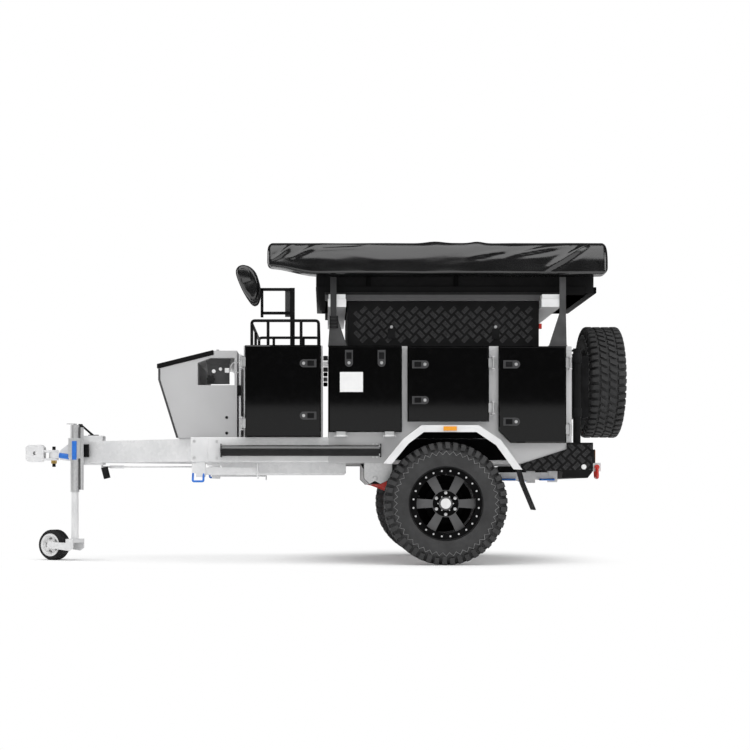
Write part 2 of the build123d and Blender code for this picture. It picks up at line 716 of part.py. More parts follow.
def rim():
    bead, inner = RIM_HALF - RIM_LIP_T, RIM_R - RIM_WALL
    foot, tip = bead + SEAT_FIT, sidewall_y(FLANGE_R) + 2 * SEAT_FIT
    part = spun(
        [
            (inner, -RIM_HALF),
            (FLANGE_R, -RIM_HALF),
            (FLANGE_R, -tip),
            (RIM_R, -foot),
            (RIM_R, foot),
            (FLANGE_R, tip),
            (FLANGE_R, RIM_HALF + RING_T),
            (inner - RIM_WALL, RIM_HALF + RING_T),
            (inner - RIM_WALL, RIM_HALF),
            (inner, RIM_HALF),
        ]
    )
    low, high = HUB_Y
    part += spun([(0, low), (HUB_R, low), (HUB_R, high), (CAP_R, high), (CAP_R, high + CAP_H), (0, high + CAP_H)])
    root, tip = SPOKE_W[0] / 2, SPOKE_W[1] / 2
    end = inner + RIM_GRIP
    spoke = plan_prism([(SPOKE_IN, -root), (end, -tip), (end, tip), (SPOKE_IN, root)], 0, SPOKE_T)
    spoke = Pos(0, SPOKE_Y, 0) * Rot(-90, 0, 0) * spoke
    for i in range(SPOKES):
        part += Rot(0, 360 / SPOKES * i, 0) * spoke
    return part


def drum():
    (inside, outside), bore = DRUM_Y, STUB_R + SEAT_FIT
    foot = HUB_Y[0]
    return spun([(bore, inside), (DRUM_R, inside), (DRUM_R, outside), (HUB_R, outside), (HUB_R, foot), (bore, foot)])


def on_axle(part):
    return Pos(AXLE_X, WHEEL_Y, TYRE_R) * part


road_tyre = tyre()
spare_rim = rim()
road_rim = spare_rim + drum()
nodes["tyre_left"] = on_axle(road_tyre)
nodes["rim_left"] = on_axle(road_rim)
nodes["tyre_right"] = mirrored(nodes["tyre_left"])
nodes["rim_right"] = mirrored(nodes["rim_left"])


# Trailing-arm suspension with an air spring and a damper on each side
def trailing_arm():
    px, pz = ARM_PIVOT
    y0, y1 = RAIL_Y - ARM_W / 2, RAIL_Y + ARM_W / 2
    half = ARM_H / 2
    outline = [(px, pz + half), (px, pz - half), (AXLE_X, TYRE_R - half)]
    part = side_prism(outline + [(AXLE_X - ARM_TAIL, TYRE_R), (AXLE_X, TYRE_R + half)], y0, y1)
    part += rod((px, y0, pz), (px, y1, pz), half)
    part += block((AIR_X - AIR_R, AIR_X + AIR_R), (y0, y1), (TYRE_R + half, AIR_Z))
    part += rod((AXLE_X, y0, TYRE_R), (AXLE_X, WHEEL_Y + STUB_OUT, TYRE_R), STUB_R)
    part += rod((AXLE_X, WHEEL_Y + PLATE_Y[0], TYRE_R), (AXLE_X, WHEEL_Y + PLATE_Y[1], TYRE_R), PLATE_R)
    return part - rod((px, y0, pz), (px, y1, pz), PIVOT_R + SEAT_FIT)


def arm_hanger():
    px, pz = ARM_PIVOT
    rear, front = px + HANGER_X[0], px + HANGER_X[1]
    foot = HANGER_FOOT
    cheek = [(front, RAIL_Z), (front, pz), (px + foot, pz - foot), (px - foot, pz - foot), (rear, pz), (rear, RAIL_Z)]
    y0, y1 = RAIL_Y - ARM_W / 2 - HANGER_GAP, RAIL_Y + ARM_W / 2 + HANGER_GAP
    part = side_prism(cheek, y0 - HANGER_T, y0) + side_prism(cheek, y1, y1 + HANGER_T)
    part += block((rear, front), (y0, y1), (RAIL_Z - HANGER_T, RAIL_Z))
    return part + rod((px, y0 - PIVOT_OUT, pz), (px, y1 + PIVOT_OUT, pz), PIVOT_R)


def air_spring():
    height = RAIL_Z - AIR_Z
    edge, waist, bend = AIR_FOLD
    ridge = [(0, 0), (AIR_R - edge, 0), (AIR_R, bend), (AIR_R, height / 2 - edge), (AIR_R - waist, height / 2)]
    ridge += [(AIR_R, height / 2 + edge), (AIR_R, height - bend), (AIR_R - edge, height), (0, height)]
    return Pos(AIR_X, RAIL_Y, AIR_Z) * Rot(90, 0, 0) * spun(ridge)


def damper():
    arm_face, rail_face = RAIL_Y - ARM_W / 2, RAIL_Y - RAIL_W / 2
    y = arm_face - DAMPER_R - DAMPER_GAP
    low = (AXLE_X + DAMPER_LOW[0], y, TYRE_R + DAMPER_LOW[1])
    high = (AXLE_X - DAMPER_HIGH[0], y, RAIL_Z + DAMPER_HIGH[1])
    mid = tuple((a + b) / 2 for a, b in zip(low, high))
    part = rod(low, mid, DAMPER_R) + rod(mid, high, DAMPER_ROD_R)
    part += rod((low[0], y - EYE_IN, low[2]), (low[0], arm_face, low[2]), EYE_R)
    return part + rod((high[0], y - EYE_IN, high[2]), (high[0], rail_face, high[2]), EYE_R)


nodes["trailing_arms"] = both_sides(trailing_arm())
nodes["arm_hangers"] = both_sides(arm_hanger())
nodes["air_springs"] = both_sides(air_spring())
nodes["dampers"] = both_sides(damper())


# Mudguards: a folded flare over each wheel with a lip, a rubber flap and a side marker lamp
def flare_face(inset):
    # filled outline of the flare, its feet carried down so that the inset stays even
    points = [(AXLE_X + x, TYRE_R + z) for x, z in FLARE]
    feet = [(points[-1][0], SKIRT_Z - FLARE_DEEP), (points[0][0], SKIRT_Z - FLARE_DEEP)]
    face = Polygon(*points, *feet, align=None)
    return offset(face, -inset, kind=Kind.INTERSECTION) if inset else face


def below_flare():
    (x0, z0), (x1, z1) = [(AXLE_X + x, TYRE_R + z) for x, z in (FLARE[0], FLARE[-1])]
    low = SKIRT_Z - 2 * FLARE_DEEP
    return Polygon((x0 + 1, z0), (x1 - 1, z1), (x1 - 1, low), (x0 + 1, low), align=None)


def flare_band(width, y0, y1):
    face = flare_face(0) - flare_face(width) - below_flare()
    return extrude(Plane.XZ.offset(-y1) * face, y1 - y0, dir=(0, -1, 0))


def mud_flap():
    x, z = FLARE_END
    run = Vector(FLARE[-1][0] - FLARE[-2][0], FLARE[-1][1] - FLARE[-2][1]).normalized()
    out = Vector(-run.Y, run.X)
    line = [(x - FLAP_LAP * run.X, z - FLAP_LAP * run.Y), (x, z)]
    line += [(x - back, z - down) for back, down in FLAP_DROP]
    outer = [(px + out.X * FLARE_T, pz + out.Y * FLARE_T) for px, pz in line]
    inner = [(px + out.X * FLAP_T, pz + out.Y * FLAP_T) for px, pz in outer]
    return side_prism(outer + list(reversed(inner)), BODY_HALF - FLAP_IN, BODY_HALF - FLAP_IN + FLAP_W)


def marker_lamp():
    x, z = AXLE_X - MARKER_BACK, TYRE_R + FLARE[2][1] - FLARE_LIP / 2
    length, height = (x - MARKER_L / 2, x + MARKER_L / 2), (z - MARKER_H / 2, z + MARKER_H / 2)
    return block(length, (FLARE_OUT, FLARE_OUT + MARKER_T), height)


def mudguard():
    # flat plates with a lip, joined at the bends
    sheet = flare_band(FLARE_T, BODY_HALF, FLARE_OUT) + flare_band(FLARE_LIP, FLARE_OUT - FLARE_T, FLARE_OUT)
    return Compound(panels(sheet, [AXLE_X + x for x, z in reversed(FLARE)]))


nodes["mudguards"] = both_sides(mudguard())
nodes["mud_flaps"] = both_sides(mud_flap())
nodes["marker_lamps"] = both_sides(marker_lamp())


# Hinges: fixed ears with a pin on the body, and a knuckle on a leaf on the door
def hinge_line(door):
    # centre points of the two hinges of a door, and the axis along the edge
    name, front, rear, low, high, edge = door
    if edge == "bottom":
        z = low - HINGE_SET
        return [(front - FOLD_HINGE_IN, z), (rear + FOLD_HINGE_IN, z)], "x"
    x = front + HINGE_SET if edge == "front" else rear - HINGE_SET
    return [(x, low + HINGE_IN[0]), (x, high - HINGE_IN[1])], "z"


def along(axis, x, z, half, radius):
    # pin along the hinge's edge
    if axis == "x":
        return rod((x - half, HINGE_Y, z), (x + half, HINGE_Y, z), radius)
    return rod((x, HINGE_Y, z - half), (x, HINGE_Y, z + half), radius)


def fixed_hinges(door):
    points, axis = hinge_line(door)
    front = door[5] == "front"
    root = BODY_HALF - HINGE_ROOT if front else BODY_HALF
    reach = KNUCKLE_L / 2 + EAR_GAP
    parts = []
    for x, z in points:
        part = along(axis, x, z, reach + EAR_T, HINGE_PIN_R)
        for step in (reach, -reach - EAR_T):
            across, up = (step, step + EAR_T), (-KNUCKLE_R, KNUCKLE_R)
            if axis == "z":
                across, up = up, across
            xs, zs = (x + across[0], x + across[1]), (z + up[0], z + up[1])
            part += block(xs, (root, HINGE_Y + KNUCKLE_R), zs)
            if front:
                part += block((FRONT_BOX_X[1] - HINGE_WEB, xs[1]), (root, BODY_HALF), zs)
        parts.append(part)
    return parts


def latch_plate():
    # plate with one round end towards +X, lying on the door's face
    half = LATCH_W / 2
    face = Pos(-half / 2, 0) * Rectangle(LATCH_L - half, LATCH_W) + Pos(LATCH_L / 2 - half, 0) * Circle(half)
    return extrude(Plane.XZ * face, LATCH_T, dir=(0, 1, 0))


def latch_places(door):
    # middle X, middle Z and turn of each latch plate, on the edge away from the hinges
    name, front, rear, low, high, edge = door
    inset = LATCH_IN + LATCH_L / 2
    if edge == "bottom":
        return [(front - FOLD_LATCH_IN, high - inset, 90), (rear + FOLD_LATCH_IN, high - inset, 90)]
    x, turn = (rear + inset, 0) if edge == "front" else (front - inset, 180)
    return [(x, high - LATCH_DOWN[1], turn), (x, low + LATCH_DOWN[0], turn)]


def door_panel(door):
    name, front, rear, low, high, edge = door
    outline = [(front, low), (front, high), (rear, high), (rear, low)]
    if name == "rear_door":
        outline = [(front - DOOR_CORNER, low), (front, low + DOOR_CORNER)] + outline[1:]
    panel = side_prism(outline, DOOR_IN, DOOR_OUT)
    panel = chamfer(panel.faces().sort_by(Axis.Y)[-1].edges(), DOOR_BEVEL)
    points, axis = hinge_line(door)
    half = KNUCKLE_L / 2
    for x, z in points:
        xs, zs = (x - half, x + half), (z, low + LEAF_GRIP)
        if axis == "z":
            xs = (x, front - LEAF_GRIP if edge == "front" else rear + LEAF_GRIP)
            zs = (z - half, z + half)
        panel += block(xs, (DOOR_OUT - LEAF_T, DOOR_OUT), zs) + along(axis, x, z, half, KNUCKLE_R)
        panel -= along(axis, x, z, KNUCKLE_L, HINGE_PIN_R + SEAT_FIT)
    for x, z, turn in latch_places(door):
        panel += Pos(x, DOOR_OUT, z) * Rot(0, turn, 0) * latch_plate()
    return panel


for door in DOORS:
    panel = door_panel(door)
    nodes[door[0] + "_left"] = panel
    nodes[door[0] + "_right"] = mirrored(panel)


# Body shell: side walls with door openings and wheel arches, bulkheads, floor and roof
def tub(grow):
    rear, front = FLARE_END[0] - TUB_END[0], AXLE_X + FLARE[0][0] + TUB_END[1]
    top = TYRE_R + FLARE[2][1] - ARCH_INSET + TUB_T
    across = (BODY_HALF - TUB_D - grow, BODY_HALF - WALL)
    return block((rear - grow, front + grow), across, (RAIL_TOP - 1, top + grow))


def side_wall():
    inside = BODY_HALF - WALL
    wall = block((BODY_REAR, BODY_FRONT), (inside, BODY_HALF), (SKIRT_Z, WALL_TOP))
    wall -= extrude(Plane.XZ.offset(-BODY_HALF) * flare_face(ARCH_INSET), WALL, dir=(0, -1, 0))
    for door in DOORS[1:]:
        name, front, rear, low, high, edge = door
        height = (max(low + DOOR_LAP, FLOOR_Z), high - DOOR_LAP_TOP)
        wall -= block((rear + DOOR_LAP, front - DOOR_LAP), (inside, BODY_HALF), height)
        for ears in fixed_hinges(door):
            wall += ears
    # three panels, joined where the arch's level top ends
    joins = [BODY_REAR, AXLE_X + FLARE[3][0], AXLE_X + FLARE[2][0], BODY_FRONT]
    return Compound(panels(wall, joins))


def cross_walls():
    inside = BODY_HALF - WALL
    spans = [(BODY_FRONT - WALL, BODY_FRONT), (BODY_REAR, BODY_REAR + WALL)]
    spans += [(x - BULKHEAD / 2, x + BULKHEAD / 2) for x in BULKHEAD_X]
    solids = []
    for span in spans:
        wall = block(span, (-inside, inside), (FLOOR_Z, WALL_TOP))
        wall -= [tub(TUB_T), mirrored(tub(TUB_T))]
        solids += wall.solids()
    return Compound(solids)


def body_floor():
    inside = BODY_HALF - WALL
    part = block((BODY_REAR, BODY_FRONT), (-inside, inside), (RAIL_TOP, FLOOR_Z))
    shell = tub(TUB_T) & block((BODY_REAR, BODY_FRONT), (0, inside), (RAIL_TOP, ROOF_Z))
    part += shell + mirrored(shell)
    return part - [tub(0), mirrored(tub(0))]


def front_box():
    rear, front = FRONT_BOX_X
    t = FRONT_BOX_WALL
    part = block((rear, front), (-BODY_HALF, BODY_HALF), (DECK_Z, FRONT_BOX_TOP))
    part -= block((rear + t, front - t), (-BODY_HALF, BODY_HALF), (DECK_Z + t, FRONT_BOX_TOP - t))
    for ears in fixed_hinges(DOORS[0]):
        part += ears + mirrored(ears)
    return part


nodes["side_walls"] = both_sides(side_wall())
nodes["cross_walls"] = cross_walls()
nodes["body_floor"] = body_floor()
nodes["roof_deck"] = block((BODY_REAR, BODY_FRONT), (-BODY_HALF, BODY_HALF), (WALL_TOP, ROOF_Z))
nodes["front_box"] = front_box()


# Nose box: a sloped aluminium locker with an open service bay across its rear, and a hinged lid
def lid_line(x):
    # height of the box's sloped rim
    run = (x - NOSE_BOX_FRONT) / (LID_REAR - NOSE_BOX_FRONT)
    chin = DECK_Z + NOSE_BOX_CHIN[1]
    return chin + run * (NOSE_BOX_TOP - LID_T - chin)


def nose_box():
    t = NOSE_BOX_WALL
    rear, front, foot = NOSE_BOX_REAR, NOSE_BOX_FRONT, NOSE_BOX_FRONT - NOSE_BOX_RAKE
    chin_low, chin_high = [DECK_Z + z for z in NOSE_BOX_CHIN]
    bay_low, bay_high = [DECK_Z + z for z in BAY_Z]
    bay_front = rear + BAY_L
    outline = [(rear, DECK_Z), (foot, DECK_Z), (front, chin_low), (front, chin_high)]
    outline += [(LID_REAR, lid_line(LID_REAR)), (LID_REAR, NOSE_BOX_TOP), (rear, NOSE_BOX_TOP)]
    inside = [(rear + t, DECK_Z + t), (foot - t, DECK_Z + t), (front - t, chin_low), (front - t, NOSE_BOX_TOP)]
    inside += [(bay_front + t, NOSE_BOX_TOP), (bay_front + t, bay_low - t), (rear + t, bay_low - t)]
    part = side_prism(outline, -NOSE_BOX_HALF, NOSE_BOX_HALF)
    part -= side_prism(inside, -NOSE_BOX_HALF + t, NOSE_BOX_HALF - t)
    # the bay is open at both sides, under the deck and behind the lid
    bay = [(rear + t, bay_low), (bay_front, bay_low), (bay_front, lid_line(bay_front) - BAY_ROOF)]
    bay += [(LID_REAR + BAY_STEP, bay_high), (rear + t, bay_high)]
    part -= side_prism(bay, -NOSE_BOX_HALF, NOSE_BOX_HALF)
    for y in LID_HINGES:
        part += lid_ears(y)
    return part


def lid_ears(y):
    x, z = LID_AXIS
    reach = KNUCKLE_L / 2 + EAR_GAP
    part = rod((x, y - reach - EAR_T, z), (x, y + reach + EAR_T, z), HINGE_PIN_R)
    for step in (reach, -reach - EAR_T):
        part += block((x - KNUCKLE_R, x + KNUCKLE_R), (y + step, y + step + EAR_T), (NOSE_BOX_TOP, z + KNUCKLE_R))
    return part


def nose_lid():
    x, z = LID_AXIS
    rear, front = LID_REAR + LID_GAP, NOSE_BOX_FRONT + LID_LAP
    reach, top, grip = rear + LID_LEAF, LID_GAP + LID_T, LEAF_T / 2
    outline = [(rear, lid_line(rear) + LID_GAP), (front, lid_line(front) + LID_GAP)]
    outline += [(front, lid_line(front) + top), (rear, lid_line(rear) + top)]
    part = side_prism(outline, -NOSE_BOX_HALF - LID_LAP, NOSE_BOX_HALF + LID_LAP)
    leaf = [(x, z + LEAF_GRIP), (x, z - KNUCKLE_R), (rear, z - KNUCKLE_R), (rear, lid_line(rear) + top - grip)]
    leaf += [(reach, lid_line(reach) + top - grip), (reach, lid_line(reach) + top + LEAF_GRIP)]
    for y in LID_HINGES:
        part += side_prism(leaf, y - KNUCKLE_L / 2, y + KNUCKLE_L / 2)
        part += rod((x, y - KNUCKLE_L / 2, z), (x, y + KNUCKLE_L / 2, z), KNUCKLE_R)
        part -= rod((x, y - KNUCKLE_L, z), (x, y + KNUCKLE_L, z), HINGE_PIN_R + SEAT_FIT)
    return part


nodes["nose_box"] = nose_box()
nodes["nose_lid"] = nose_lid()


# Tank tray under the platform and the pole tubes along the sills
def water_tank():
    half, t = RAIL_Y + RAIL_W / 2, TANK_WALL
    front, rear, low = FRONT_BOX_X[1] + TANK_X[0], BODY_FRONT - TANK_X[1], RAIL_Z - TANK_H
    part = side_prism([(front, RAIL_Z), (front - TANK_RAKE, low), (rear, low), (rear, RAIL_Z)], -half, half)
    inside = [(front - 2 * t, RAIL_Z), (front - TANK_RAKE - t, low + t), (rear + t, low + t), (rear + t, RAIL_Z)]
    return part - side_prism(inside, -half + t, half - t)


def pole_tube():
    front, rear = PLATFORM_FRONT - POLE_BACK, AXLE_X + FLARE[0][0] + POLE_GAP
    y, z, flange = BODY_HALF + POLE_R + POLE_SET, RAIL_TOP - POLE_DROP, POLE_FLANGE
    part = pipe((rear, y, z), (front, y, z), POLE_R, POLE_R - POLE_WALL)
    for x in (front - POLE_SET, rear):
        part += block((x, x + POLE_SET), (BODY_HALF, y + flange), (z - flange, z + flange))
    return part


nodes["water_tank"] = water_tank()
nodes["pole_tubes"] = both_sides(pole_tube())


# Stabiliser legs, in their own frame: pivot at the origin, leg along +X
def leg_bracket(rise):
    inner, half = LEG_W / 2 + EAR_GAP, LEG_EAR_HALF
    outer = inner + LEG_EAR_T
    part = block((-half, half), (-outer, outer), (rise - LEG_TOP_T, rise))
    for y in (inner, -outer):
        part += block((-half, half), (y, y + LEG_EAR_T), (-LEG_EAR_LOW, rise))
    return part + rod((0, -outer, 0), (0, outer, 0), LEG_PIN_R)


def stabiliser_leg():
    across, up, t, foot = LEG_W / 2, LEG_H / 2, LEG_TUBE, LEG_L - FOOT_T
    part = block((-LEG_TAIL, foot), (-across, across), (-up, up))
    part -= block((LEG_SOLID, foot), (-across + t, across - t), (-up + t, up - t))
    part += block((foot, LEG_L), (-FOOT_W / 2, FOOT_W / 2), (-FOOT_H / 2, FOOT_H / 2))
    return part - rod((0, -across, 0), (0, across, 0), LEG_PIN_R + SEAT_FIT)


# name, pivot X, Y and Z, height of the carrier's underside, turn of the leg's frame
LEGS = [
    ("front", PLATFORM_FRONT - FRONT_LEG[0], BODY_HALF - SIDE_RAIL_W / 2, PLATFORM_Z - FRONT_LEG[1], PLATFORM_Z, 180),
    ("rear", BODY_REAR + REAR_LEG[0], RAIL_Y, RAIL_Z - REAR_LEG[1], RAIL_Z, 0),
]
brackets = []
for name, x, y, z, under, turn in LEGS:
    place = Pos(x, y, z) * Rot(0, 0, turn)
    bracket = place * leg_bracket(under - z)
    leg = place * stabiliser_leg()
    brackets += [*bracket.solids(), *mirrored(bracket).solids()]
    nodes[name + "_leg_left"] = leg
    nodes[name + "_leg_right"] = mirrored(leg)
nodes["leg_brackets"] = Compound(brackets)


# Rear end: tread-plate bumper with side wings, hitch tongue and gate post; then the swing gate
def rear_bumper():
    (front, rear), low, high = BUMPER_X, BUMPER_LOW, BUMPER_HIGH
    (cut_x, cut_z), t = BUMPER_CUT, BUMPER_WALL
    outline = [(front, low), (front, high), (rear, high), (rear, low + cut_z), (rear + cut_x, low)]
    hollow = [(front - t, low + t), (front - t, high - t), (rear + t, high - t)]
    hollow += [(rear + t, low + cut_z + t / 2), (rear + cut_x + t / 2, low + t)]
    part = side_prism(outline, -BODY_HALF, BODY_HALF) - side_prism(hollow, -BODY_HALF, BODY_HALF)
    tip, step, heel = FLARE_END[0] - FLARE_T, BODY_REAR + WING_STEP, BODY_REAR + WING_HEEL
    wing = outline[2:] + [(step, low), (step, low + WING_UP[0]), (tip - WING_NOSE, low + WING_UP[0])]
    wing += [(tip, low + WING_UP[1]), (heel, low + WING_UP[2]), (heel, high)]
    side = side_prism(wing, BODY_HALF, BODY_HALF + WING_T)
    hole_x, hole_z, hole_r = rear + WING_HOLE[0], low + WING_HOLE[1], WING_HOLE[2]
    side -= rod((hole_x, BODY_HALF, hole_z), (hole_x, BODY_HALF + WING_T, hole_z), hole_r)
    part += side + mirrored(side)
    z, half = low + TONGUE_UP, TONGUE_HALF
    part += block((rear - TONGUE_L, rear), (-half, half), (z - half, z + half))
    part -= rod((rear - TONGUE_HOLE, -half, z), (rear - TONGUE_HOLE, half, z), TONGUE_R)
    x, y = POST_AT
    part += rod((x, y, high), (x, y, POST_TOP), POST_R)
    return part + block((x, BODY_REAR), (y - STAY_HALF, y + STAY_HALF), (POST_TOP + STAY_Z[0], POST_TOP + STAY_Z[1]))


def shackle():
    x, z = BUMPER_X[1] - TONGUE_HOLE, BUMPER_LOW + TONGUE_UP
    half, inner, outer = SHACKLE
    foot, bow, eye = [z + up for up in SHACKLE_Z]
    part = rod((x, -outer, z), (x, outer, z), SHACKLE_R)
    for across in ((inner, outer), (-outer, -inner)):
        part += block((x - half, x + half), across, (bow, eye))
    return part + block((x - half, x + half), (-outer, outer), (foot, bow))


def tail_lamp():
    depth, width, height = TAIL_LAMP
    y, z = BODY_HALF - TAIL_LAMP_IN, BUMPER_LOW + TAIL_LAMP_UP
    return block((BUMPER_X[1] - depth, BUMPER_X[1]), (y - width, y), (z, z + height))


def spare_gate():
    x, y = POST_AT
    sx, sy, sz = SPARE_AT
    half, t, far = GATE_BEAM / 2, GATE_WALL, GATE_FAR - BODY_HALF
    beam_z = [RAIL_TOP + z for z in GATE_Z]
    deep, front = (x - half - GATE_BACK, x + half - GATE_BACK), x + half - GATE_BACK
    height = (beam_z[0] - half, beam_z[1] + half)
    part = box_tube(deep, (far, far + GATE_BEAM), height, t, "z")
    part += box_tube((x - CARRIER_D, front), (sy - CARRIER_HALF, sy + CARRIER_HALF), height, t, "z")
    part += box_tube((x - CARRIER_D, front), (y - GATE_PLATE[1], y - GATE_PLATE[0]), height, t, "z")
    for z in beam_z:
        part += box_tube(deep, (far, y - POST_R - GATE_GAP), (z - half, z + half), t, "y")
        lap = half + GATE_SLEEVE_LAP
        part += rod((x, y, z - lap), (x, y, z + lap), POST_R + GATE_SLEEVE)
    part += rod((x - CARRIER_D + t, sy, sz), (sx - HUB_Y[0], sy, sz), SPARE_STUB_R)
    return part - rod((x, y, height[0] - half), (x, y, height[1] + half), POST_R + SEAT_FIT)


def on_gate(part):
    return Pos(*SPARE_AT) * Rot(0, 0, 90) * part


nodes["rear_bumper"] = rear_bumper()
nodes["shackle"] = shackle()
nodes["tail_lamps"] = both_sides(tail_lamp())
nodes["spare_gate"] = spare_gate()
nodes["spare_tyre"] = on_gate(road_tyre)
nodes["spare_rim"] = on_gate(spare_rim)


# Roof load: tread-plate box, rack, folded roof tent and awning bag
def top_box():
    t = TOP_BOX_WALL
    part = block(TOP_BOX_X, (-TOP_BOX_HALF, TOP_BOX_HALF), (ROOF_Z, TOP_BOX_TOP))
    inner_x = (TOP_BOX_X[0] + t, TOP_BOX_X[1] - t)
    return part - block(inner_x, (-TOP_BOX_HALF + t, TOP_BOX_HALF - t), (ROOF_Z, TOP_BOX_TOP - t))


def rack_bracket(place, top):
    # tapered plate: wide at the roof, a narrow stem above
    end, *across = place
    b0, b1, s0, s1 = [end + x for x in across]
    knee, half = ROOF_Z + RACK_KNEE, RACK_T / 2
    outline = [(b0, ROOF_Z), (b1, ROOF_Z), (s1, knee), (s1, top), (s0, top), (s0, knee)]
    foot_half, foot_t = RACK_FOOT
    part = side_prism(outline, RACK_Y - half, RACK_Y + half)
    return part + block((b0, b1), (RACK_Y - foot_half, RACK_Y + foot_half), (ROOF_Z, ROOF_Z + foot_t))


def rack_beams():
    ends = RACK_Y - RACK_T / 2
    front, rear = [(end + low, end + high) for end, low, high in BEAMS]
    part = box_tube(front, (-ends, ends), BEAM_Z, BEAM_WALL, "y")
    part += box_tube(rear, (-ends, ends), BEAM_Z, BEAM_WALL, "y")
    length = (rear[0] - RACK_RAIL_END[0], front[1] + RACK_RAIL_END[1])
    for y in (TOP_BOX_HALF, -TOP_BOX_HALF):
        across = (y - RACK_RAIL_W / 2, y + RACK_RAIL_W / 2)
        part += box_tube(length, across, RACK_RAIL_Z, BEAM_WALL, "x")
    return part


def tent_section(inset, bottom):
    # across the tent: upright sides and a crowned top
    y0, y1 = TENT_Y[0] + inset, TENT_Y[1] - inset
    side, top = RACK_RAIL_Z[1] + TENT_SIDE - inset, RACK_RAIL_Z[1] + TENT_H - inset
    sides = Polyline((y0, side), (y0, bottom), (y1, bottom), (y1, side))
    return make_face(sides + ThreePointArc((y1, side), ((y0 + y1) / 2, top), (y0, side)))


def roof_tent():
    low, (rear, front), t = RACK_RAIL_Z[1] + SEAT_FIT, TENT_X, TENT_WALL
    part = extrude(Plane.YZ.offset(rear) * tent_section(0, low), front - rear, dir=(1, 0, 0))
    return part - extrude(Plane.YZ.offset(rear + t) * tent_section(t, low), front - rear - 2 * t, dir=(1, 0, 0))


def tent_base():
    fit, low = TENT_WALL + SEAT_FIT, RACK_RAIL_Z[1]
    across = (TENT_Y[0] + fit, TENT_Y[1] - fit)
    return block((TENT_X[0] + fit, TENT_X[1] - fit), across, (low, low + TENT_BOARD))


def awning_bag():
    rear, front = BODY_REAR - AWNING_L[0], BODY_FRONT + AWNING_L[1]
    z = RACK_TOP + SEAT_FIT + AWNING_H / 2
    section = Plane.YZ.offset(rear) * Pos(AWNING_Y, z) * RectangleRounded(AWNING_D, AWNING_H, AWNING_ROUND)
    bag = extrude(section, front - rear, dir=(1, 0, 0))
    ends = bag.faces().sort_by(Axis.X)
    return chamfer(ends[0].edges() + ends[-1].edges(), AWNING_END)


brackets = [rack_bracket(place, RACK_TOP) for place in BRACKETS]
brackets += [mirrored(rack_bracket(place, ROOF_Z + RACK_H_RIGHT)) for place in BRACKETS]
nodes["top_box"] = top_box()
nodes["rack_brackets"] = Compound([s for part in brackets for s in part.solids()])
nodes["rack_beams"] = rack_beams()
nodes["tent_base"] = tent_base()
nodes["roof_tent"] = roof_tent()
nodes["awning_bag"] = awning_bag()


# Basket on the front box, with the upright frame that the bag hangs on
def basket():
    (x0, x1), half, bar = BASKET_X, BASKET_HALF, BASKET_BAR
    low, high = FRONT_BOX_TOP, FRONT_BOX_TOP + BASKET_H
    part = block((x0, x1), (-half, half), (low, high))
    part -= block((x0 + bar, x1 - bar), (-half + bar, half - bar), (low, high))
    # windows that leave the top and bottom rings and the posts
    for across in ((-half + bar, -bar / 2), (bar / 2, half - bar)):
        part -= block((x0, x1), across, (low + bar, high - bar))
    middle = (x0 + x1) / 2
    for length in ((x0 + bar, middle - bar / 2), (middle + bar / 2, x1 - bar)):
        part -= block(length, (-half, half), (low + bar, high - bar))
    for i in range(-2, 3):
        y = i * BASKET_STEP
        part += block((x0, x1), (y - bar / 2, y + bar / 2), (low, low + bar))
    return part + ladder_frame(low + bar)


def ladder_frame(foot):
    bar, half, outer = BASKET_BAR, LADDER_POST, LADDER_X + LADDER_REACH
    low, top = [FRONT_BOX_TOP + z for z in LADDER_Z]
    part = block((LADDER_X - half, LADDER_X + half), (-half, half), (foot, top))
    for z in (low, top - bar):
        part += block((LADDER_X, outer), (-bar / 2, bar / 2), (z, z + bar))
    return part + block((outer, outer + bar), (-bar / 2, bar / 2), (low - bar, top))


def tool_bag():
    back = LADDER_X + LADDER_REACH + BASKET_BAR + SEAT_FIT
    low = FRONT_BOX_TOP + LADDER_Z[0] + BAG_UP
    return side_prism([(back + x, low + z) for x, z in BAG], -BAG_HALF, BAG_HALF)


nodes["basket"] = basket()
nodes["tool_bag"] = tool_bag()

os.makedirs("parts", exist_ok=True)
for name, shape in nodes.items():
    export_step(shape, f"parts/{name}.step")
print(len(nodes), "parts")
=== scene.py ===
import json
import math

import bmesh
import bpy
from mathutils import Matrix, Vector, noise

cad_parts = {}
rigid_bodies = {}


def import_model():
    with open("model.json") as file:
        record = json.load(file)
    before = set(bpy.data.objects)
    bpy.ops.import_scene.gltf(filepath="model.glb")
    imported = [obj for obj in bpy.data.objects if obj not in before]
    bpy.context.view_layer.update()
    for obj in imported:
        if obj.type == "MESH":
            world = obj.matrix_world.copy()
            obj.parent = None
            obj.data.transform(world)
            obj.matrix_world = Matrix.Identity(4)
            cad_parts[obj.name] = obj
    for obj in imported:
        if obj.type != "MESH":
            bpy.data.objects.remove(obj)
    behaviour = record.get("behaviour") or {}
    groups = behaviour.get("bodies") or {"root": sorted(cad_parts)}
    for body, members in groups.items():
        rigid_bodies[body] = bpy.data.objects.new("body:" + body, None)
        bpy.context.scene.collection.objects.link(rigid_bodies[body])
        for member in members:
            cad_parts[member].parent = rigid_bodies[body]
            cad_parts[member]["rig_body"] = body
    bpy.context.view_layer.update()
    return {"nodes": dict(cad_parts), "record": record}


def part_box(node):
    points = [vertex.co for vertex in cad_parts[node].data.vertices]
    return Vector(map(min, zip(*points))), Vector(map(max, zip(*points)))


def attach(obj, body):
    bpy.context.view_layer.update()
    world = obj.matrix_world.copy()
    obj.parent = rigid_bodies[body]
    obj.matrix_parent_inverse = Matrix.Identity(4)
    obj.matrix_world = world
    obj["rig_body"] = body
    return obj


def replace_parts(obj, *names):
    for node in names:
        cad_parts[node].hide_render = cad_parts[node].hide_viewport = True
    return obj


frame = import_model()
nodes = frame["nodes"]
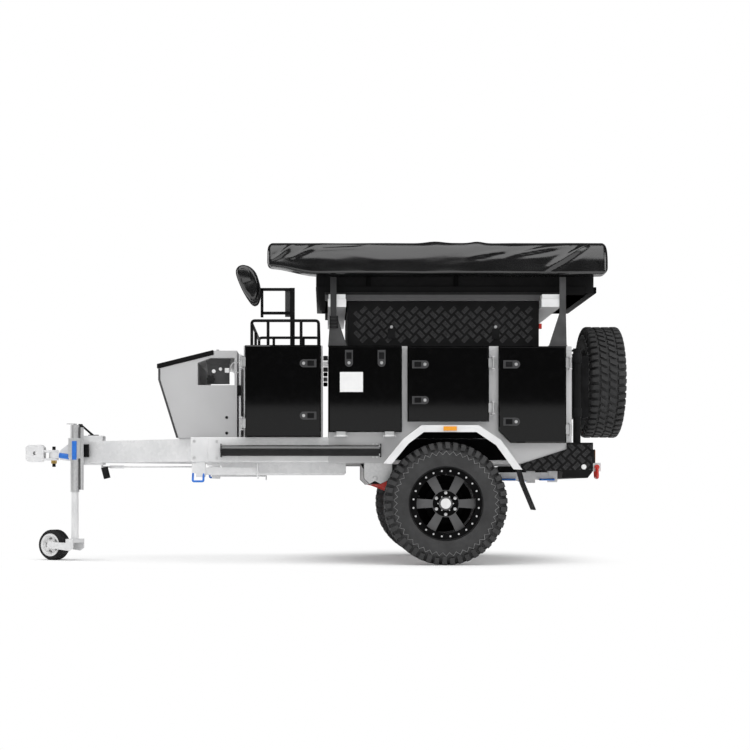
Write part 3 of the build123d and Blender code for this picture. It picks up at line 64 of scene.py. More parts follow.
slotOf = {row["node"]: row["material_slot"] for row in frame["record"]["subparts"]}
print("frame loaded with", len(nodes), "nodes")


# shader maths as Python expressions
class Wire:
    def __init__(self, tree, socket):
        self.tree = tree
        self.socket = socket

    def node(self, kind, settings, sockets, output=0):
        made = self.tree.nodes.new("ShaderNode" + kind)
        for key, value in settings.items():
            if key == "stops":
                setStops(made.color_ramp, value)
            else:
                setattr(made, key, value)
        for key, value in sockets.items():
            connect(self.tree, value, made.inputs[key])
        return Wire(self.tree, made.outputs[output])

    def maths(self, operation, *values):
        return self.node("Math", {"operation": operation}, dict(enumerate(values)))

    def __add__(self, other):
        return self.maths("ADD", self, other)

    def __radd__(self, other):
        return self.maths("ADD", other, self)

    def __mul__(self, other):
        return self.maths("MULTIPLY", self, other)

    def __rmul__(self, other):
        return self.maths("MULTIPLY", other, self)

    def noise(self, scale, detail=3.0, roughness=0.5):
        return self.node("TexNoise", {}, {
            "Vector": self, "Scale": scale, "Detail": detail, "Roughness": roughness})

    def wave(self, direction, scale):
        return self.node("TexWave", {"bands_direction": direction}, {"Vector": self, "Scale": scale}, "Fac")

    def cells(self, scale):
        spots = self.node("TexVoronoi", {}, {"Vector": self, "Scale": scale}, "Color")
        return self.node("RGBToBW", {}, {"Color": spots})

    def stretched(self, x, y, z):
        return self.node("Mapping", {}, {"Vector": self, "Scale": (x, y, z)})

    def ramp(self, *stops):
        return self.node("ValToRGB", {"stops": stops}, {"Fac": self})

    def bump(self, strength, distance):
        return self.node("Bump", {}, {"Height": self, "Strength": strength, "Distance": distance})


def setStops(ramp, stops):
    # place and colour: grey and blue, or red, green and blue
    while len(ramp.elements) > 1:
        ramp.elements.remove(ramp.elements[-1])
    for count, (place, *colour) in enumerate(stops):
        stop = ramp.elements.new(place) if count else ramp.elements[0]
        stop.position = place
        stop.color = (colour[0], colour[-2], colour[-1], 1)


def connect(tree, value, socket):
    if isinstance(value, Wire):
        tree.links.new(value.socket, socket)
    else:
        socket.default_value = value


def newFinish(name, recipe):
    material = bpy.data.materials.new(name)
    material.use_nodes = True
    tree = material.node_tree
    shader = tree.nodes["Principled BSDF"]
    place = Wire(tree, tree.nodes.new("ShaderNodeTexCoord").outputs["Object"])
    for key, value in recipe(place).items():
        connect(tree, value, shader.inputs[key])
    material.diffuse_color = (0.5, 0.5, 0.5, 1)
    return material


# finishes with one tone
fixedSockets = {"metallic": "Metallic", "specular": "Specular IOR Level", "coat": "Coat Weight"}


def plain(tone, stops, rough, bump=(), stretch=None, grainy=False, **fixed):
    # tone: noise scale, detail, roughness; rough: least and swing
    # bump: grain's noise scale and detail, strength, depth; or strength and depth of the tone itself
    def recipe(p):
        cloud = (p.stretched(*stretch) if stretch else p).noise(*tone)
        grain = p.noise(*bump[:2]) if len(bump) == 4 else cloud
        uneven = grain if grainy else cloud
        made = {"Base Color": cloud.ramp(*stops), "Roughness": rough[0] + rough[1] * uneven}
        if bump:
            made["Normal"] = grain.bump(*bump[-2:])
        return made | {fixedSockets[key]: value for key, value in fixed.items()}

    return recipe


# finishes with several
def galvanised(p):
    spangle = p.cells(46)
    streak = p.stretched(6, 6, 1).noise(30, 2)
    mottle = spangle * 0.25 + p.noise(3.5, 4) * 0.75
    return {
        "Base Color": mottle.ramp((0.3, 0.74, 0.745, 0.75), (0.7, 0.88, 0.885)),
        "Metallic": 0.2,
        "Roughness": 0.34 + 0.2 * streak,
        "Normal": spangle.bump(0.05, 0.0006),
    }


def silverPanel(p):
    brush = p.stretched(1, 1, 60).noise(14, 2)
    return {
        "Base Color": p.noise(2.2, 3).ramp((0.3, 0.56, 0.565), (0.7, 0.62, 0.625)),
        "Metallic": 0.35,
        "Roughness": 0.36 + 0.14 * brush,
        "Normal": p.noise(420, 2).bump(0.03, 0.0005),
    }


def treadBlack(p):
    scuff = p.stretched(1, 1, 3).noise(70, 5, 0.75)
    return {
        "Base Color": (scuff * 0.55 + p.noise(9, 4) * 0.45).ramp((0.4, 0.003, 0.0032), (0.75, 0.010, 0.0105)),
        "Roughness": 0.3 + 0.28 * scuff,
        "Specular IOR Level": 0.15,
        "Normal": p.noise(300, 2).bump(0.08, 0.0005),
    }


def alloyBlack(p):
    dust = p.noise(10, 4)
    return {
        "Base Color": dust.ramp((0.4, 0.085, 0.087), (0.8, 0.115, 0.118)),
        "Roughness": 0.24 + 0.16 * dust,
        "Normal": p.cells(900).bump(0.02, 0.0003),
    }


def tentCanvas(p):
    threads = 210.0
    weave = p.wave("X", threads) * 0.34 + p.wave("Z", threads) * 0.33 + p.wave("Y", threads) * 0.33
    cloud = p.noise(4, 5)
    return {
        "Base Color": (cloud * 0.7 + weave * 0.3).ramp((0.3, 0.005, 0.0053), (0.7, 0.011, 0.0115)),
        "Roughness": 0.46 + 0.18 * cloud,
        "Specular IOR Level": 0.08,
        "Normal": weave.bump(0.16, 0.0008),
    }


def webbing(p):
    rib = p.wave("Z", 120.0)
    return {
        "Base Color": rib.ramp((0.2, 0.010, 0.0105), (0.8, 0.032, 0.033)),
        "Roughness": 0.62 + 0.14 * rib,
        "Normal": rib.bump(0.3, 0.001),
    }


def lens(low, high):
    def recipe(p):
        rib = p.wave("X", 55.0)
        return {
            "Base Color": rib.ramp((0.1, *low), (0.9, *high)),
            "Roughness": 0.1 + 0.08 * rib,
            "Coat Weight": 0.6,
            "Normal": rib.bump(0.2, 0.001),
        }

    return recipe


recipes = {
    "galvanised": galvanised,
    "silverPanel": silverPanel,
    "treadBlack": treadBlack,
    "alloyBlack": alloyBlack,
    "tentCanvas": tentCanvas,
    "webbing": webbing,
    "amberLens": lens((0.70, 0.22, 0.006), (0.92, 0.42, 0.02)),
    "redLens": lens((0.30, 0.004, 0.006), (0.52, 0.012, 0.014)),
    "glossBlack": plain(
        (26, 5, 0.7), ((0.5, 0.0012, 0.0013), (0.85, 0.004, 0.0042)), (0.03, 0.04), (160, 2, 0.012, 0.0004),
        specular=0.5),
    "powderBlack": plain(
        (12, 4), ((0.35, 0.005, 0.0054), (0.75, 0.014, 0.015)), (0.4, 0.16), (520, 2, 0.14, 0.0006),
        grainy=True, specular=0.12),
    "tubeBlack": plain(
        (16, 4), ((0.35, 0.012, 0.0125), (0.75, 0.022, 0.0225)), (0.20, 0.08), (520, 2, 0.03, 0.0004),
        specular=1.0, coat=0.8),
    "stemGrey": plain(
        (9, 4), ((0.3, 0.035, 0.036), (0.75, 0.075, 0.077)), (0.42, 0.16), (480, 2, 0.12, 0.0006),
        grainy=True),
    "redPaint": plain(
        (14, 4), ((0.35, 0.60, 0.022, 0.012), (0.8, 0.72, 0.045, 0.026)), (0.28, 0.2), (240, 2, 0.04, 0.0005),
        coat=0.4),
    "tyreRubber": plain(
        (8, 5, 0.65), ((0.35, 0.036, 0.0365), (0.7, 0.056, 0.057)), (0.58, 0.2), (380, 3, 0.1, 0.0008),
        specular=0.25),
    # light grey rubber on the tyres' raised zigzag: a painted highlight where its lines catch the light
    "zigzagHighlight": plain((30, 4), ((0.3, 0.13, 0.131), (0.7, 0.22, 0.222)), (0.6, 0.2), specular=0.2),
    "softRubber": plain(
        (18, 5, 0.7), ((0.3, 0.007, 0.0073), (0.75, 0.018, 0.0186)), (0.5, 0.25), (260, 3, 0.1, 0.0006),
        specular=0.25),
    "zincPlate": plain(
        (60, 4), ((0.3, 0.70, 0.705, 0.71), (0.7, 0.80, 0.80)), (0.26, 0.08), (700, 2, 0.03, 0.0003),
        metallic=0.9),
    "paleSteel": plain(
        (7, 4), ((0.3, 0.72, 0.725, 0.73), (0.7, 0.84, 0.845)), (0.34, 0.16), (300, 2, 0.04, 0.0004),
        metallic=0.15),
    "latchGrey": plain(
        (160, 3), ((0.3, 0.060, 0.062), (0.7, 0.115, 0.118)), (0.3, 0.2), (0.05, 0.0003),
        (1, 1, 8), metallic=0.7),
    "railGrey": plain(
        (20, 3), ((0.3, 0.085, 0.087), (0.7, 0.13, 0.132)), (0.34, 0.16), (0.04, 0.0004),
        (1, 30, 30), metallic=0.4),
    "brassNut": plain(
        (90, 3), ((0.3, 0.42, 0.27, 0.08), (0.7, 0.66, 0.46, 0.16)), (0.25, 0.15), metallic=0.95),
    "bluePlastic": plain(
        (40, 3), ((0.3, 0.010, 0.125, 0.52), (0.75, 0.020, 0.20, 0.72)), (0.34, 0.12),
        (500, 2, 0.05, 0.0004)),
    "whitePlastic": plain(
        (22, 4), ((0.3, 0.72, 0.72), (0.7, 0.82, 0.82)), (0.36, 0.14), (300, 2, 0.04, 0.0004)),
    "paleLabel": plain((12, 3), ((0.3, 0.78, 0.78), (0.7, 0.86, 0.86)), (0.4, 0.1)),
    "awningVinyl": plain(
        (5, 4), ((0.3, 0.003, 0.0032), (0.75, 0.007, 0.0073)), (0.15, 0.12), (620, 2, 0.05, 0.0005),
        specular=1.0),
    # raised tread bars, lighter than the plate: partly worn tops, partly a painted highlight for their glints
    "treadBar": plain(
        (60, 4), ((0.3, 0.030, 0.031), (0.75, 0.075, 0.077)), (0.3, 0.2), (0.05, 0.0004), metallic=0.4),
    "deepBlack": plain((16, 4), ((0.3, 0.002, 0.0022), (0.75, 0.006, 0.0063)), (0.5, 0.2), specular=0.04),
}
finishes = {name: newFinish(name, recipe) for name, recipe in recipes.items()}
# each slot's finish on the CAD shells, then its others
slotFinishes = {
    "galvanised_steel": ("galvanised", "paleSteel", "zincPlate"),
    "silver_panel": ("silverPanel",),
    "gloss_black": ("glossBlack",),
    "black_tread_plate": ("treadBlack", "treadBar"),
    "black_steel": ("powderBlack", "stemGrey", "latchGrey"),
    "red_steel": ("redPaint",),
    "damper_body": ("stemGrey",),
    "tyre_rubber": ("tyreRubber", "zigzagHighlight"),
    "black_alloy": ("alloyBlack",),
    "white_plastic": ("whitePlastic", "bluePlastic", "paleLabel"),
    "black_rubber": ("softRubber",),
    "amber_lens": ("amberLens",),
    "red_lens": ("redLens",),
    "tent_board": ("deepBlack",),
    "tank_steel": ("galvanised",),
    "black_cover": ("tentCanvas", "awningVinyl", "webbing"),
}
homeSlot = {name: slot for slot, names in reversed(slotFinishes.items()) for name in names}
print("finishes mixed:", len(finishes))


# making pieces
def newPiece(name, shape, body, finish, smoothAngle=35, slot=None):
    mesh = bpy.data.meshes.new(name)
    settleShading(shape, smoothAngle)
    shape.to_mesh(mesh)
    shape.free()
    return newObject(name, mesh, body, finish, slot)


def settleShading(shape, smoothAngle, straight=0.01, flatter=8):
    # soft steps only up to the angle, and a wide flat face beside narrow ones stays flat
    limit = math.radians(smoothAngle)
    areas = {face: face.calc_area() for face in shape.faces}
    for edge in shape.edges:
        edge.smooth = edge.calc_face_angle(math.pi) < limit
    for face in shape.faces:
        bends = [e for e in face.edges if e.smooth and e.calc_face_angle(0) > straight]
        beside = [areas[f] for e in bends for f in e.link_faces if f is not face]
        face.smooth = bool(beside) and areas[face] < flatter * max(beside)


def newObject(name, mesh, body, finish, slot=None):
    piece = bpy.data.objects.new(name, mesh)
    bpy.context.scene.collection.objects.link(piece)
    mesh.materials.clear()
    mesh.materials.append(finishes[finish])
    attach(piece, body)
    slot or homeSlot[finish]
    return piece


def paintWhere(piece, finish, test):
    slot = len(piece.data.materials)
    piece.data.materials.append(finishes[finish])
    for face in piece.data.polygons:
        if test(face.center):
            face.material_index = slot


def bevelled(shape, edges, width, segments=2, clamp=False):
    bmesh.ops.bevel(
        shape, geom=edges, offset=width, affect="EDGES", segments=segments, profile=0.5, material=-1,
        clamp_overlap=clamp,
    )


def joinRings(shape, before, after):
    for step in range(len(before)):
        shape.faces.new((before[step - 1], before[step], after[step], after[step - 1]))


def addBox(shape, low, high):
    low, high = Vector(low), Vector(high)
    made = bmesh.ops.create_cube(shape, size=1)["verts"]
    bmesh.ops.scale(shape, vec=high - low, verts=made)
    bmesh.ops.translate(shape, vec=(low + high) / 2, verts=made)


def addRod(shape, start, end, radius, sides=20, bevel=0.0):
    start, end = Vector(start), Vector(end)
    axis = end - start
    turn = axis.to_track_quat("Z", "Y").to_matrix().to_4x4()
    made = bmesh.ops.create_cone(
        shape, cap_ends=True, segments=sides, radius1=radius, radius2=radius, depth=axis.length,
        matrix=Matrix.Translation((start + end) / 2) @ turn,
    )["verts"]
    if bevel:
        edges = {e for v in made for e in v.link_edges}
        bevelled(shape, [e for e in edges if abs((e.verts[0].co - e.verts[1].co).dot(axis)) < 1e-9], bevel)


def addBolt(shape, place, axis, radius, height):
    # a round washer and a hexagon head
    place, axis = Vector(place), Vector(axis).normalized()
    addRod(shape, place - axis * 0.001, place + axis * height * 0.25, radius * 1.35, 18)
    addRod(shape, place + axis * height * 0.2, place + axis * height, radius, 6, height * 0.12)


def addLathe(shape, outline, steps):
    # closed outline of (radius, y) turned about the Y axis
    verts = [shape.verts.new((radius, y, 0)) for radius, y in outline]
    edges = [shape.edges.new(pair) for pair in zip(verts, verts[1:] + verts[:1])]
    bmesh.ops.spin(
        shape, geom=verts + edges, cent=(0, 0, 0), axis=(0, 1, 0), angle=math.tau, steps=steps,
        use_merge=True, use_duplicate=False,
    )
    bmesh.ops.remove_doubles(shape, verts=shape.verts, dist=1e-6)


def addPrism(shape, outline, low, high):
    # outline of (x, z) swept along Y
    rings = [[shape.verts.new((x, y, z)) for x, z in outline] for y in (low, high)]
    for ring in rings:
        shape.faces.new(ring)
    joinRings(shape, *rings)


def absorb(shape, build):
    # a form that is finished by itself before it is added
    other, mesh = bmesh.new(), bpy.data.meshes.new("part")
    build(other)
    other.to_mesh(mesh)
    other.free()
    shape.from_mesh(mesh)
    bpy.data.meshes.remove(mesh)


def tubePiece(name, runs, radius, body, finish):
    # bent bars along lists of points
    curve = bpy.data.curves.new(name, "CURVE")
    curve.dimensions = "3D"
    curve.bevel_depth = radius
    curve.bevel_resolution = 5
    curve.use_fill_caps = True
    for points in runs:
        spline = curve.splines.new("NURBS")
        spline.points.add(len(points) - 1)
        for point, place in zip(spline.points, points):
            point.co = (*place, 1)
        spline.order_u = 3
        spline.use_endpoint_u = True
        spline.resolution_u = 6
    holder = bpy.data.objects.new(name, curve)
    bpy.context.scene.collection.objects.link(holder)
    mesh = bpy.data.meshes.new_from_object(holder.evaluated_get(bpy.context.evaluated_depsgraph_get()))
    bpy.data.objects.remove(holder)
    mesh.name = name
    mesh.polygons.foreach_set("use_smooth", [True] * len(mesh.polygons))
    mesh.set_sharp_from_angle(angle=math.radians(50))
    return newObject(name, mesh, body, finish)


def cornered(points, radius):
    # each inner corner of a run becomes three points, so that the bar bends over that radius
    out = [Vector(points[0])]
    for before, here, after in zip(points, points[1:], points[2:]):
        here = Vector(here)
        out.append(here + (Vector(before) - here).normalized() * radius)
        out.append(here)
        out.append(here + (Vector(after) - here).normalized() * radius)
    out.append(Vector(points[-1]))
    return out


def recalc(shape):
    bmesh.ops.recalc_face_normals(shape, faces=shape.faces)


def ease(shape, width, segments=2, sharpFrom=30):
    recalc(shape)
    limit = math.radians(sharpFrom)
    sharp = [e for e in shape.edges if len(e.link_faces) == 2 and e.calc_face_angle(0) > limit]
    bevelled(shape, sharp, width, segments, True)


def addMirror(shape):
    # the same again on the trailer's other side
    made = bmesh.ops.duplicate(shape, geom=shape.verts[:] + shape.edges[:] + shape.faces[:])["geom"]
    bmesh.ops.scale(shape, vec=(1, -1, 1), verts=[v for v in made if isinstance(v, bmesh.types.BMVert)])
    bmesh.ops.reverse_faces(shape, faces=[f for f in made if isinstance(f, bmesh.types.BMFace)])


def fitting(name, build, finish, body="trailer", edge=0.0, mirror=False, smoothAngle=35, slot=None):
    shape = bmesh.new()
    build(shape)
    if edge:
        ease(shape, edge)
    if mirror:
        addMirror(shape)
    recalc(shape)
    return newPiece(name, shape, body, finish, smoothAngle, slot)


def boxes(*corners):
    def build(shape):
        for low, high in corners:
            addBox(shape, low, high)

    return build


def rods(*rows):
    def build(shape):
        for row in rows:
            addRod(shape, *row)

    return build


def bolts(places, axis, size=0.007, height=0.006):
    def build(shape):
        for place in places:
            addBolt(shape, place, axis, size, height)

    return build


def bodyOf(name):
    return nodes[name]["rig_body"]


def smoothstep(low, high, value):
    share = min(max((value - low) / (high - low), 0), 1)
    return share * share * (3 - 2 * share)


# the CAD shells: merged, with eased edges
def easedShell(name, width):
    shape = bmesh.new()
    shape.from_mesh(nodes[name].data)
    bmesh.ops.remove_doubles(shape, verts=shape.verts, dist=1e-5)
    bmesh.ops.dissolve_limit(shape, angle_limit=math.radians(0.6), verts=shape.verts, edges=shape.edges)
    ease(shape, width)
    slot = slotOf[name]
    piece = newPiece(name + ".shell", shape, bodyOf(name), slotFinishes[slot][0], 20, slot)
    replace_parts(piece, name)
    return piece


modelledAfresh = (
    "tyre_left", "tyre_right", "spare_tyre", "roof_tent", "awning_bag", "tool_bag", "basket", "shackle",
)
easeWidth = {"door": 0.0015, "rim": 0.003, "platform": 0.003, "drawbar": 0.003, "chassis": 0.003, "": 0.002}
shells = {}
for name in nodes:
    if name not in modelledAfresh:
        shells[name] = easedShell(name, next(size for key, size in easeWidth.items() if key in name))
print("shells eased:", len(shells))

# doors: zinc hinges, grey latch plates with a paddle and a lock
bothSides = (("left", 1), ("right", -1))
doorKit = {
    "hinged": {"front_door": "front", "fold_door": "bottom", "middle_door": "rear", "rear_door": "rear"},
    "hingeReach": 0.035,
    "faceIn": 0.015,
    "plate": 0.006,
    "plateFrom": 0.0008,
    "plateIn": 0.085,
    "plateDown": 0.120,
    "plateUp": 0.140,
    "plateSide": 0.134,
    "lockStep": 0.029,
    "lock": (0.0105, 20, 0.0008),
    "lockOut": (-0.001, 0.003),
    "paddle": (0.022, 0.017, 0.004),
    "paddleStep": 0.6,
    "paddleEdge": 0.0015,
}


def latchPlaces(edge, low, high):
    # middle (x, z) of each plate, and the way to its round end
    kit = doorKit
    if edge == "bottom":
        z = high.z - kit["plateIn"]
        return [((x, z), (0, -1)) for x in (high.x - kit["plateSide"], low.x + kit["plateSide"])]
    x, way = (low.x + kit["plateIn"], 1) if edge == "front" else (high.x - kit["plateIn"], -1)
    return [((x, z), (way, 0)) for z in (high.z - kit["plateDown"], low.z + kit["plateUp"])]


def dressDoor(name, side, sign):
    kit, part = doorKit, f"{name}_{side}"
    low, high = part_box(part)
    edge = kit["hinged"][name]
    face = max(abs(low.y), abs(high.y)) - kit["faceIn"]
    reach = kit["hingeReach"]
    atHinge = {
        "front": lambda c: c.x > high.x - reach,
        "rear": lambda c: c.x < low.x + reach,
        "bottom": lambda c: c.z < low.z + reach,
    }[edge]
    paintWhere(shells[part], "latchGrey", lambda c: abs(c.y) > face + kit["plateFrom"])
    paintWhere(shells[part], "zincPlate", atHinge)
    places = latchPlaces(edge, low, high)
    proud = face + kit["plate"]

    def locks(shape):
        for (x, z), (dx, dz) in places:
            x, z = x + dx * kit["lockStep"], z + dz * kit["lockStep"]
            ends = [(x, sign * (proud + out), z) for out in kit["lockOut"]]
            addRod(shape, *ends, *kit["lock"])

    def paddles(shape):
        long, wide, raised = kit["paddle"]
        y0, y1 = sorted((sign * proud, sign * (proud + raised)))
        back = kit["lockStep"] * kit["paddleStep"]
        for (x, z), (dx, dz) in places:
            x, z = x - dx * back, z - dz * back
            halfX, halfZ = (long, wide) if dx else (wide, long)
            addBox(shape, (x - halfX, y0, z - halfZ), (x + halfX, y1, z + halfZ))

    fitting(part + ".locks", locks, "zincPlate", bodyOf(part))
    fitting(part + ".paddles", paddles, "powderBlack", bodyOf(part), kit["paddleEdge"])


for name in doorKit["hinged"]:
    for side, sign in bothSides:
        dressDoor(name, side, sign)
stickerSpec = {"low": (-0.249, 1.133), "high": (-0.098, 1.264), "thick": 0.0008}
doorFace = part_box("fold_door_left")[1].y - doorKit["faceIn"]
(x0, z0), (x1, z1) = stickerSpec["low"], stickerSpec["high"]
fitting(
    "blankSticker", boxes(((x0, doorFace, z0), (x1, doorFace + stickerSpec["thick"], z1))), "paleLabel",
    bodyOf("fold_door_left"),
)
print("doors dressed")

# road wheels and spare: lugged tyres, bolted clamp rings, lug nuts and a plain cap
tyreSpec = {
    "lugs": 46,
    "steps": 92,
    "carcass": [
        (0.3875, 0.0), (0.3875, 0.060), (0.3820, 0.088), (0.368, 0.107), (0.352, 0.1180), (0.338, 0.1265),
        (0.320, 0.1305), (0.300, 0.1318), (0.272, 0.1290), (0.250, 0.1195), (0.243, 0.1180), (0.240, 0.1065),
        (0.2163, 0.0995), (0.2163, 0.0760), (0.300, 0.1040), (0.3725, 0.0900), (0.3725, 0.0),
    ],
    "shoulder": [(0.384, 0.066), (0.4015, 0.070), (0.4015, 0.104), (0.3965, 0.1175), (0.3780, 0.1280)],
    "lugFoot": (0.357, 0.345),
    "lugSide": (0.1318, 0.1198),
    "lugBack": (0.380, 0.1),
    "share": 0.30,
    "lugSkew": 0.22,
    "block": [(0.385, 0.006), (0.4005, 0.008), (0.4005, 0.054), (0.385, 0.056)],
    "blockSkew": -1.32,
    "zigzag": (0.318, 0.341),
    "zigzagHalf": 0.0022,
    "zigzagY": (0.124, 0.1322),
    "edge": 0.0016,
}
wheelSpec = {
    "ringFace": 0.120,
    "hubFace": 0.0785,
    # bolts: count, first one's share of a step, radius of their circle, size, height
    "ringBolts": (24, 0.5, 0.2135, 0.0046, 0.005),
    "lugNuts": (6, 0.5, 0.070, 0.0078, 0.016),
    "hubDots": (6, 0, 0.050, 0.0032, 0.004),
    "hubDisc": [(0.036, 0.0755), (0.084, 0.0755), (0.084, 0.0775), (0.083, 0.0785), (0.036, 0.0785)],
    "cap": (0.090, 0.096, 0.034),
    "valve": (0.182, 0.066, 0.100, 0.006),
    "valveTurn": 15,
    # what is darker on the rim: the clamp ring in front, and the barrel behind the spokes, which is painted
    # shade
    "ringFrom": 0.1125,
    "shadedBarrelTo": 0.048,
}


def polar(radius, y, turn):
    return (radius * math.cos(turn), y, radius * math.sin(turn))


def addLug(shape, outline, turn, half, skew):
    # (radius, y) outline swept between two angles, leaning with y
    rings = []
    for way in (-1, 1):
        rings.append([shape.verts.new(polar(r, y, turn + way * half + skew * y)) for r, y in outline])
        shape.faces.new(rings[-1])
    joinRings(shape, *rings)


def treadShape(shape):
    spec = tyreSpec
    pitch = math.tau / spec["lugs"]
    half = spec["share"] * pitch
    for count in range(spec["lugs"]):
        turn = (count + 1) * pitch - math.pi / 2
        foot = spec["lugFoot"][count % 2]
        lug = spec["shoulder"] + [(foot, y) for y in spec["lugSide"]] + [spec["lugBack"]]
        for sign, shift in ((1, 0), (-1, pitch / 2)):
            for outline, at, skew in ((lug, shift, "lugSkew"), (spec["block"], shift / 2, "blockSkew")):
                addLug(shape, [(r, sign * y) for r, y in outline], turn + at, half, spec[skew])
    ease(shape, spec["edge"], 1)


def zigzagShape(shape):
    # raised zigzag line on each sidewall
    spec = tyreSpec
    count, half = 2 * spec["lugs"], spec["zigzagHalf"]
    foot, crest = spec["zigzagY"]
    for sign in (1, -1):
        rings = []
        for step in range(count):
            turn, middle = step * math.tau / count, spec["zigzag"][step % 2]
            inner, outer = middle - half, middle + half
            section = ((inner, foot), (inner, crest), (outer, crest), (outer, foot))
            rings.append([shape.verts.new(polar(r, sign * y, turn)) for r, y in section])
        for step in range(count):
            joinRings(shape, rings[step - 1], rings[step])


def tyreShape(shape):
    half = tyreSpec["carcass"]
    addLathe(shape, half + [(r, -y) for r, y in reversed(half[1:-1])], tyreSpec["steps"])
    absorb(shape, treadShape)


def boltCircles(face, *circles):
    def build(shape):
        for count, first, radius, size, height in circles:
            for step in range(count):
                turn = (step + first) * math.tau / count
                addBolt(shape, polar(radius, wheelSpec[face], turn), (0, 1, 0), size, height)

    return build


def wheelCap(shape):
    back, front, radius = wheelSpec["cap"]
    addRod(shape, (0, back, 0), (0, front, 0), radius, 40, 0.002)


def valveStem(shape):
    radius, back, front, size = wheelSpec["valve"]
    turn = math.radians(wheelSpec["valveTurn"])
    addRod(shape, polar(radius, back, turn), polar(radius, front, turn), size, 12, 0.001)


def dressWheel(label, place, body):
    def placed(build):
        def built(shape):
            build(shape)
            shape.transform(place)

        return built

    spec = wheelSpec
    tyre = fitting(f"{label}.rubber", placed(tyreShape), "tyreRubber", body, smoothAngle=38)
    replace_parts(tyre, label)
    for piece, build, finish, slot in (
        ("hubDisc", lambda shape: addLathe(shape, spec["hubDisc"], 48), "deepBlack", "black_alloy"),
        # the zigzag is painted light grey as a painted highlight
        ("zigzag", zigzagShape, "zigzagHighlight", None),
        ("ringBolts", boltCircles("ringFace", spec["ringBolts"]), "zincPlate", None),
        ("lugNuts", boltCircles("hubFace", spec["lugNuts"], spec["hubDots"]), "zincPlate", None),
        ("cap", wheelCap, "whitePlastic", None),
        ("valve", valveStem, "softRubber", None),
    ):
        fitting(f"{label}.{piece}", placed(build), finish, body, slot=slot)


def onRingOrShadedBarrel(c):
    return c.y > wheelSpec["ringFrom"] or c.y < wheelSpec["shadedBarrelTo"]


flipSide = Matrix.Scale(-1, 4, (0, 1, 0))
for label, turned in (
    ("tyre_left", Matrix()), ("tyre_right", flipSide), ("spare_tyre", Matrix.Rotation(math.pi / 2, 4, "Z")),
):
    low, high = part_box(label)
    place = Matrix.Translation((low + high) / 2) @ turned
    dressWheel(label, place, bodyOf(label))
    inward = place.inverted()
    rim = shells[label.replace("tyre_", "rim_").replace("_tyre", "_rim")]
    # clamp ring painted deep black, and the barrel behind the spokes painted deep black as painted shade
    paintWhere(rim, "deepBlack", lambda c: onRingOrShadedBarrel(inward @ c))
print("wheels dressed")

# tread plate: groups of raised bars on a lattice, every second group turned the other way
treadSpec = {
    "pitch": (0.085, 0.065), "bar": (0.050, 0.0052), "step": 0.0072, "count": 4, "rise": 0.0020,
    "crest": 0.62,
}


def latticePlaces(long, wide, margin):
    # middle of each group and the way it leans
    steps = [size / 2 for size in treadSpec["pitch"]]
    counts = [int((size - 2 * margin) / step) for size, step in zip((long, wide), steps)]
    for i in range(counts[0] + 1):
        for j in range(i % 2, counts[1] + 1, 2):
            a = long / 2 + (i - counts[0] / 2) * steps[0]
            b = wide / 2 + (j - counts[1] / 2) * steps[1]
            yield a, b, 1 if i % 2 else -1


def layBars(shape, corner, u, v, normal, margin):
    # corner, long edge, short edge, outward normal, smooth margin
    spec = treadSpec
    long, wide = (size / 2 for size in spec["bar"])
    square = math.sqrt(2)  # radius of a four-sided cone of half side 1
    reach = (long + wide + spec["step"] * (spec["count"] - 1) / 2) / square
    corner, u, v, normal = Vector(corner), Vector(u), Vector(v), Vector(normal).normalized()
    along, up, eighth = u.normalized(), v.normalized(), Matrix.Rotation(math.pi / 4, 4, "Z")
    for a, b, way in latticePlaces(u.length, v.length, margin + reach):
        run, side = (along + way * up) / square, (along - way * up) / square
        for bar in range(spec["count"]):
            off = (bar - (spec["count"] - 1) / 2) * spec["step"]
            place = corner + along * a + up * b + side * off + normal * spec["rise"] / 2
            turn = Matrix((run * long, side * wide, normal)).transposed().to_4x4()
            bmesh.ops.create_cone(
                shape, cap_ends=True, segments=4, radius1=square, radius2=square * spec["crest"],
                depth=spec["rise"], matrix=Matrix.Translation(place) @ turn @ eighth,
            )


def cutTo(shape, outline):
    # what lies outside a convex outline in X and Z goes, and the cut ends are closed
    middle = sum((Vector((x, 0, z)) for x, z in outline), Vector()) / len(outline)
    for (x0, z0), (x1, z1) in zip(outline, outline[1:] + outline[:1]):
        outward = Vector((z1 - z0, 0, x0 - x1))
        if outward.dot(Vector((x0, 0, z0)) - middle) < 0:
            outward.negate()
        cut = bmesh.ops.bisect_plane(
            shape, geom=shape.verts[:] + shape.edges[:] + shape.faces[:], dist=1e-6, plane_co=(x0, 0, z0),
            plane_no=outward, clear_outer=True,
        )["geom_cut"]
        bmesh.ops.holes_fill(shape, edges=[item for item in cut if isinstance(item, bmesh.types.BMEdge)])


def trimmedBars(face, outline):
    def build(shape):
        layBars(shape, *face)
        cutTo(shape, outline)

    return build


def treadPlate(name, body, faces, cuts=()):
    # cuts: a face as above and the outlines that its bars are trimmed to
    shape = bmesh.new()
    for face in faces:
        layBars(shape, *face)
    for face, outlines in cuts:
        for outline in outlines:
            absorb(shape, trimmedBars(face, outline))
    recalc(shape)
    # the bars' lighter finish is partly wear and partly a painted highlight
    return newPiece(name, shape, body, "treadBar", 20)


